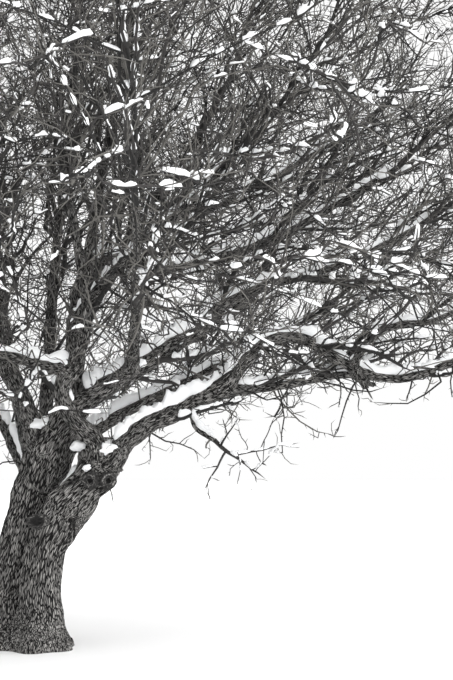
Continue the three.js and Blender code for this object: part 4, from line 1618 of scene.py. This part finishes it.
def make_bough_snow():
    """Deep snow along the boughs and in the forks, in place of the solids' caps."""
    random = np.random.default_rng(BOUGH_SNOW_SEED)
    boughs = bough_shoots(BOUGH_SNOW_RINGS)
    for index, stem in enumerate(STEMS):
        carriers = chosen(boughs, boughs.stem == index)
        drifts = mesh_piece("drifts", *deep_snow_on(carriers, BOUGH_SNOW, random))
        heaps = [fork_heap(place, np.array(HEAP_SHAPE) * width, seed)
                 for seed, (name, place, width) in enumerate(forks()) if stem_index(name) == index]
        if stem.name == "right":
            heaps += [fork_heap(np.array(heap.place), np.array(heap.reach), seed)
                      for seed, heap in enumerate(LOW_HEAPS)]
        piece = joined([drifts, *heaps], f"{stem.name}_bough_snow")
        caps = [cap.on.replace("_bough", "_snow") for cap in SNOW_CAPS if stem_index(cap.on) == index]
        finish_piece(piece, [settled_snow()], caps)


def make_twig_snow():
    """Thin snow on the branches and the stouter twigs."""
    random = np.random.default_rng(TWIG_SNOW_SEED)
    for index, stem in enumerate(STEMS):
        for kind, rule in (("branches", BRANCH_SNOW), ("branchlets", TWIG_SNOW)):
            points, faces = thin_snow_on(shoots_on(index, kind), rule, random)
            piece = mesh_piece(f"{stem.name}_{kind}_snow", points, faces)
            finish_piece(piece, [thin_snow()])


# Stage
def make_floor():
    bpy.ops.mesh.primitive_plane_add(size=FLOOR_SIZE)
    floor = bpy.context.object
    floor.name = floor.data.name = "floor"
    material, _, shader = new_material("pale_floor")
    shader.inputs["Base Color"].default_value = linear(FLOOR_COLOUR)
    shader.inputs["Roughness"].default_value = 1
    floor.data.materials.append(material)
    floor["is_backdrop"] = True


def make_light():
    """A bright even sky, its glow from above and from the snow, and a soft sun from the right."""
    scene = bpy.context.scene
    scene.view_settings.view_transform = "Standard"
    world = bpy.data.worlds.new("overcast_sky")
    scene.world = world
    world.use_nodes = True
    world.node_tree.nodes.clear()
    sky = add_node(world.node_tree, "ShaderNodeBackground",
                   {"Color": (1, 1, 1, 1), "Strength": SKY_STRENGTH})
    add_node(world.node_tree, "ShaderNodeOutputWorld", {"Surface": sky.outputs["Background"]})
    for lamp in LAMPS:
        light = bpy.data.lights.new(lamp.name, "SUN")
        light.energy = lamp.energy
        light.angle = math.radians(lamp.angle)
        holder = bpy.data.objects.new(lamp.name, light)
        scene.collection.objects.link(holder)
        holder.rotation_euler = Vector(lamp.direction).to_track_quat("Z", "Y").to_euler()


def make_camera():
    """The photograph's low viewpoint, some ten metres off, looking up into the right of the crown."""
    data = bpy.data.cameras.new("camera")
    camera = bpy.data.objects.new("camera", data)
    bpy.context.scene.collection.objects.link(camera)
    camera.location = CAMERA_AT
    camera.rotation_euler = (Vector(CAMERA_AT) - Vector(LOOKS_AT)).to_track_quat("Z", "Y").to_euler()
    data.sensor_fit = "VERTICAL"
    data.sensor_height = SENSOR_HEIGHT
    data.lens = SENSOR_HEIGHT / 2 / math.tan(math.radians(VIEW_ANGLE / 2))
    data.clip_end = FARTHEST
    bpy.context.scene.camera = camera


# Settings
def colour_setting(name, description, colour):
    return FloatVectorProperty(name=name, description=description, default=linear(colour)[:3],
                               subtype="COLOR", size=3, min=0, max=1)


class WinterTreeSizes(PropertyGroup):
    furrow_width: FloatProperty(
        name="Furrow width", description="Distance between furrows on the thinnest limb, in millimetres",
        default=7, min=3, max=40)
    furrow_growth: FloatProperty(
        name="Furrow growth", description="How much wider furrows are for each millimetre of radius",
        default=0.022, min=0, max=0.5)
    deepest_furrow: FloatProperty(
        name="Deepest furrow", description="Depth of the deepest furrows, in millimetres",
        default=9, min=0, max=30)


class WinterTreeColours(PropertyGroup):
    # The furrow colour also serves as painted shade beside deep furrows and in sunken scars
    furrow: colour_setting("Furrow", "Bark in its furrows", "#0f0e0e")
    bark: colour_setting("Bark", "Bark between furrow and crest", "#323130")
    crest: colour_setting("Crest", "Bark on the crests of its ridges", "#b0aeab")
    # The darker skin is partly painted shade inside the crown, the paler partly painted light on its
    # outer twigs
    dark_skin: colour_setting("Dark skin", "The darker branches and twigs", "#181716")
    grey_skin: colour_setting("Grey skin", "The middling branches and twigs", "#32302f")
    pale_skin: colour_setting("Pale skin", "The paler twigs", "#65635f")
    snow: colour_setting("Snow", "Settled snow", "#fafbfc")


# Operators
class WINTERTREE_OT_trunk(Operator):
    """Makes the trunk's four stems with their bark"""
    bl_idname = "winter_tree.trunk"
    bl_label = "Trunk"

    def execute(self, context):
        finish_piece(make_trunk(), [], ["trunk"])
        return {"FINISHED"}


class WINTERTREE_OT_boughs(Operator):
    """Makes each bough with its bark"""
    bl_idname = "winter_tree.boughs"
    bl_label = "Boughs"

    def execute(self, context):
        make_boughs()
        return {"FINISHED"}


class WINTERTREE_OT_branches(Operator):
    """Makes the branches that grow on from the boughs"""
    bl_idname = "winter_tree.branches"
    bl_label = "Branches"

    def execute(self, context):
        # The branches take the darker and middling skins: painted shade inside the crown
        make_shoots("branches", LATERALS.sides, wood_tones()[:2])
        return {"FINISHED"}


class WINTERTREE_OT_twigs(Operator):
    """Makes the branchlets, fine twigs and spurs"""
    bl_idname = "winter_tree.twigs"
    bl_label = "Twigs"

    def execute(self, context):
        make_shoots("branchlets", BRANCHLETS.sides, wood_tones())
        # Twigs and spurs take the middling and paler skins: painted light on the crown's outer wood
        for kind in ("twigs", "spurs"):
            make_shoots(kind, TWIGS.sides, wood_tones()[1:])
        return {"FINISHED"}


class WINTERTREE_OT_bough_snow(Operator):
    """Lays snow along the boughs"""
    bl_idname = "winter_tree.bough_snow"
    bl_label = "Snow on boughs"

    def execute(self, context):
        make_bough_snow()
        return {"FINISHED"}


class WINTERTREE_OT_twig_snow(Operator):
    """Lays thin snow along the branches and twigs"""
    bl_idname = "winter_tree.twig_snow"
    bl_label = "Snow on twigs"

    def execute(self, context):
        make_twig_snow()
        return {"FINISHED"}


class WINTERTREE_OT_stage(Operator):
    """Makes the floor, the light and the camera"""
    bl_idname = "winter_tree.stage"
    bl_label = "Stage"

    def execute(self, context):
        make_floor()
        make_light()
        make_camera()
        return {"FINISHED"}


STEPS = (WINTERTREE_OT_trunk, WINTERTREE_OT_boughs, WINTERTREE_OT_branches, WINTERTREE_OT_twigs,
         WINTERTREE_OT_bough_snow, WINTERTREE_OT_twig_snow, WINTERTREE_OT_stage)


class VIEW3D_PT_winter_tree(Panel):
    bl_label = "Winter Tree"
    bl_space_type = "VIEW_3D"
    bl_region_type = "UI"
    bl_category = "Winter Tree"

    def draw(self, context):
        for group in (context.scene.winter_tree_sizes, context.scene.winter_tree_colours):
            for name in group.bl_rna.properties.keys():
                if name not in ("rna_type", "name"):
                    self.layout.prop(group, name)
        for step in STEPS:
            self.layout.operator(step.bl_idname)


CLASSES = (WinterTreeSizes, WinterTreeColours, *STEPS, VIEW3D_PT_winter_tree)


def register():
    for cls in CLASSES:
        bpy.utils.register_class(cls)
    bpy.types.Scene.winter_tree_sizes = PointerProperty(type=WinterTreeSizes)
    bpy.types.Scene.winter_tree_colours = PointerProperty(type=WinterTreeColours)


def unregister():
    del bpy.types.Scene.winter_tree_colours
    del bpy.types.Scene.winter_tree_sizes
    for cls in reversed(CLASSES):
        bpy.utils.unregister_class(cls)


def main():
    register()
    bpy.ops.winter_tree.trunk()
    bpy.ops.winter_tree.boughs()
    bpy.ops.winter_tree.branches()
    bpy.ops.winter_tree.twigs()
    bpy.ops.winter_tree.bough_snow()
    bpy.ops.winter_tree.twig_snow()
    bpy.ops.winter_tree.stage()
    boxes = {"cad": CAD_BOX, "visual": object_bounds()}
    lists = {name: [[float(v) for v in corner] for corner in box] for name, box in boxes.items()}


if __name__ == "__main__":
    main()
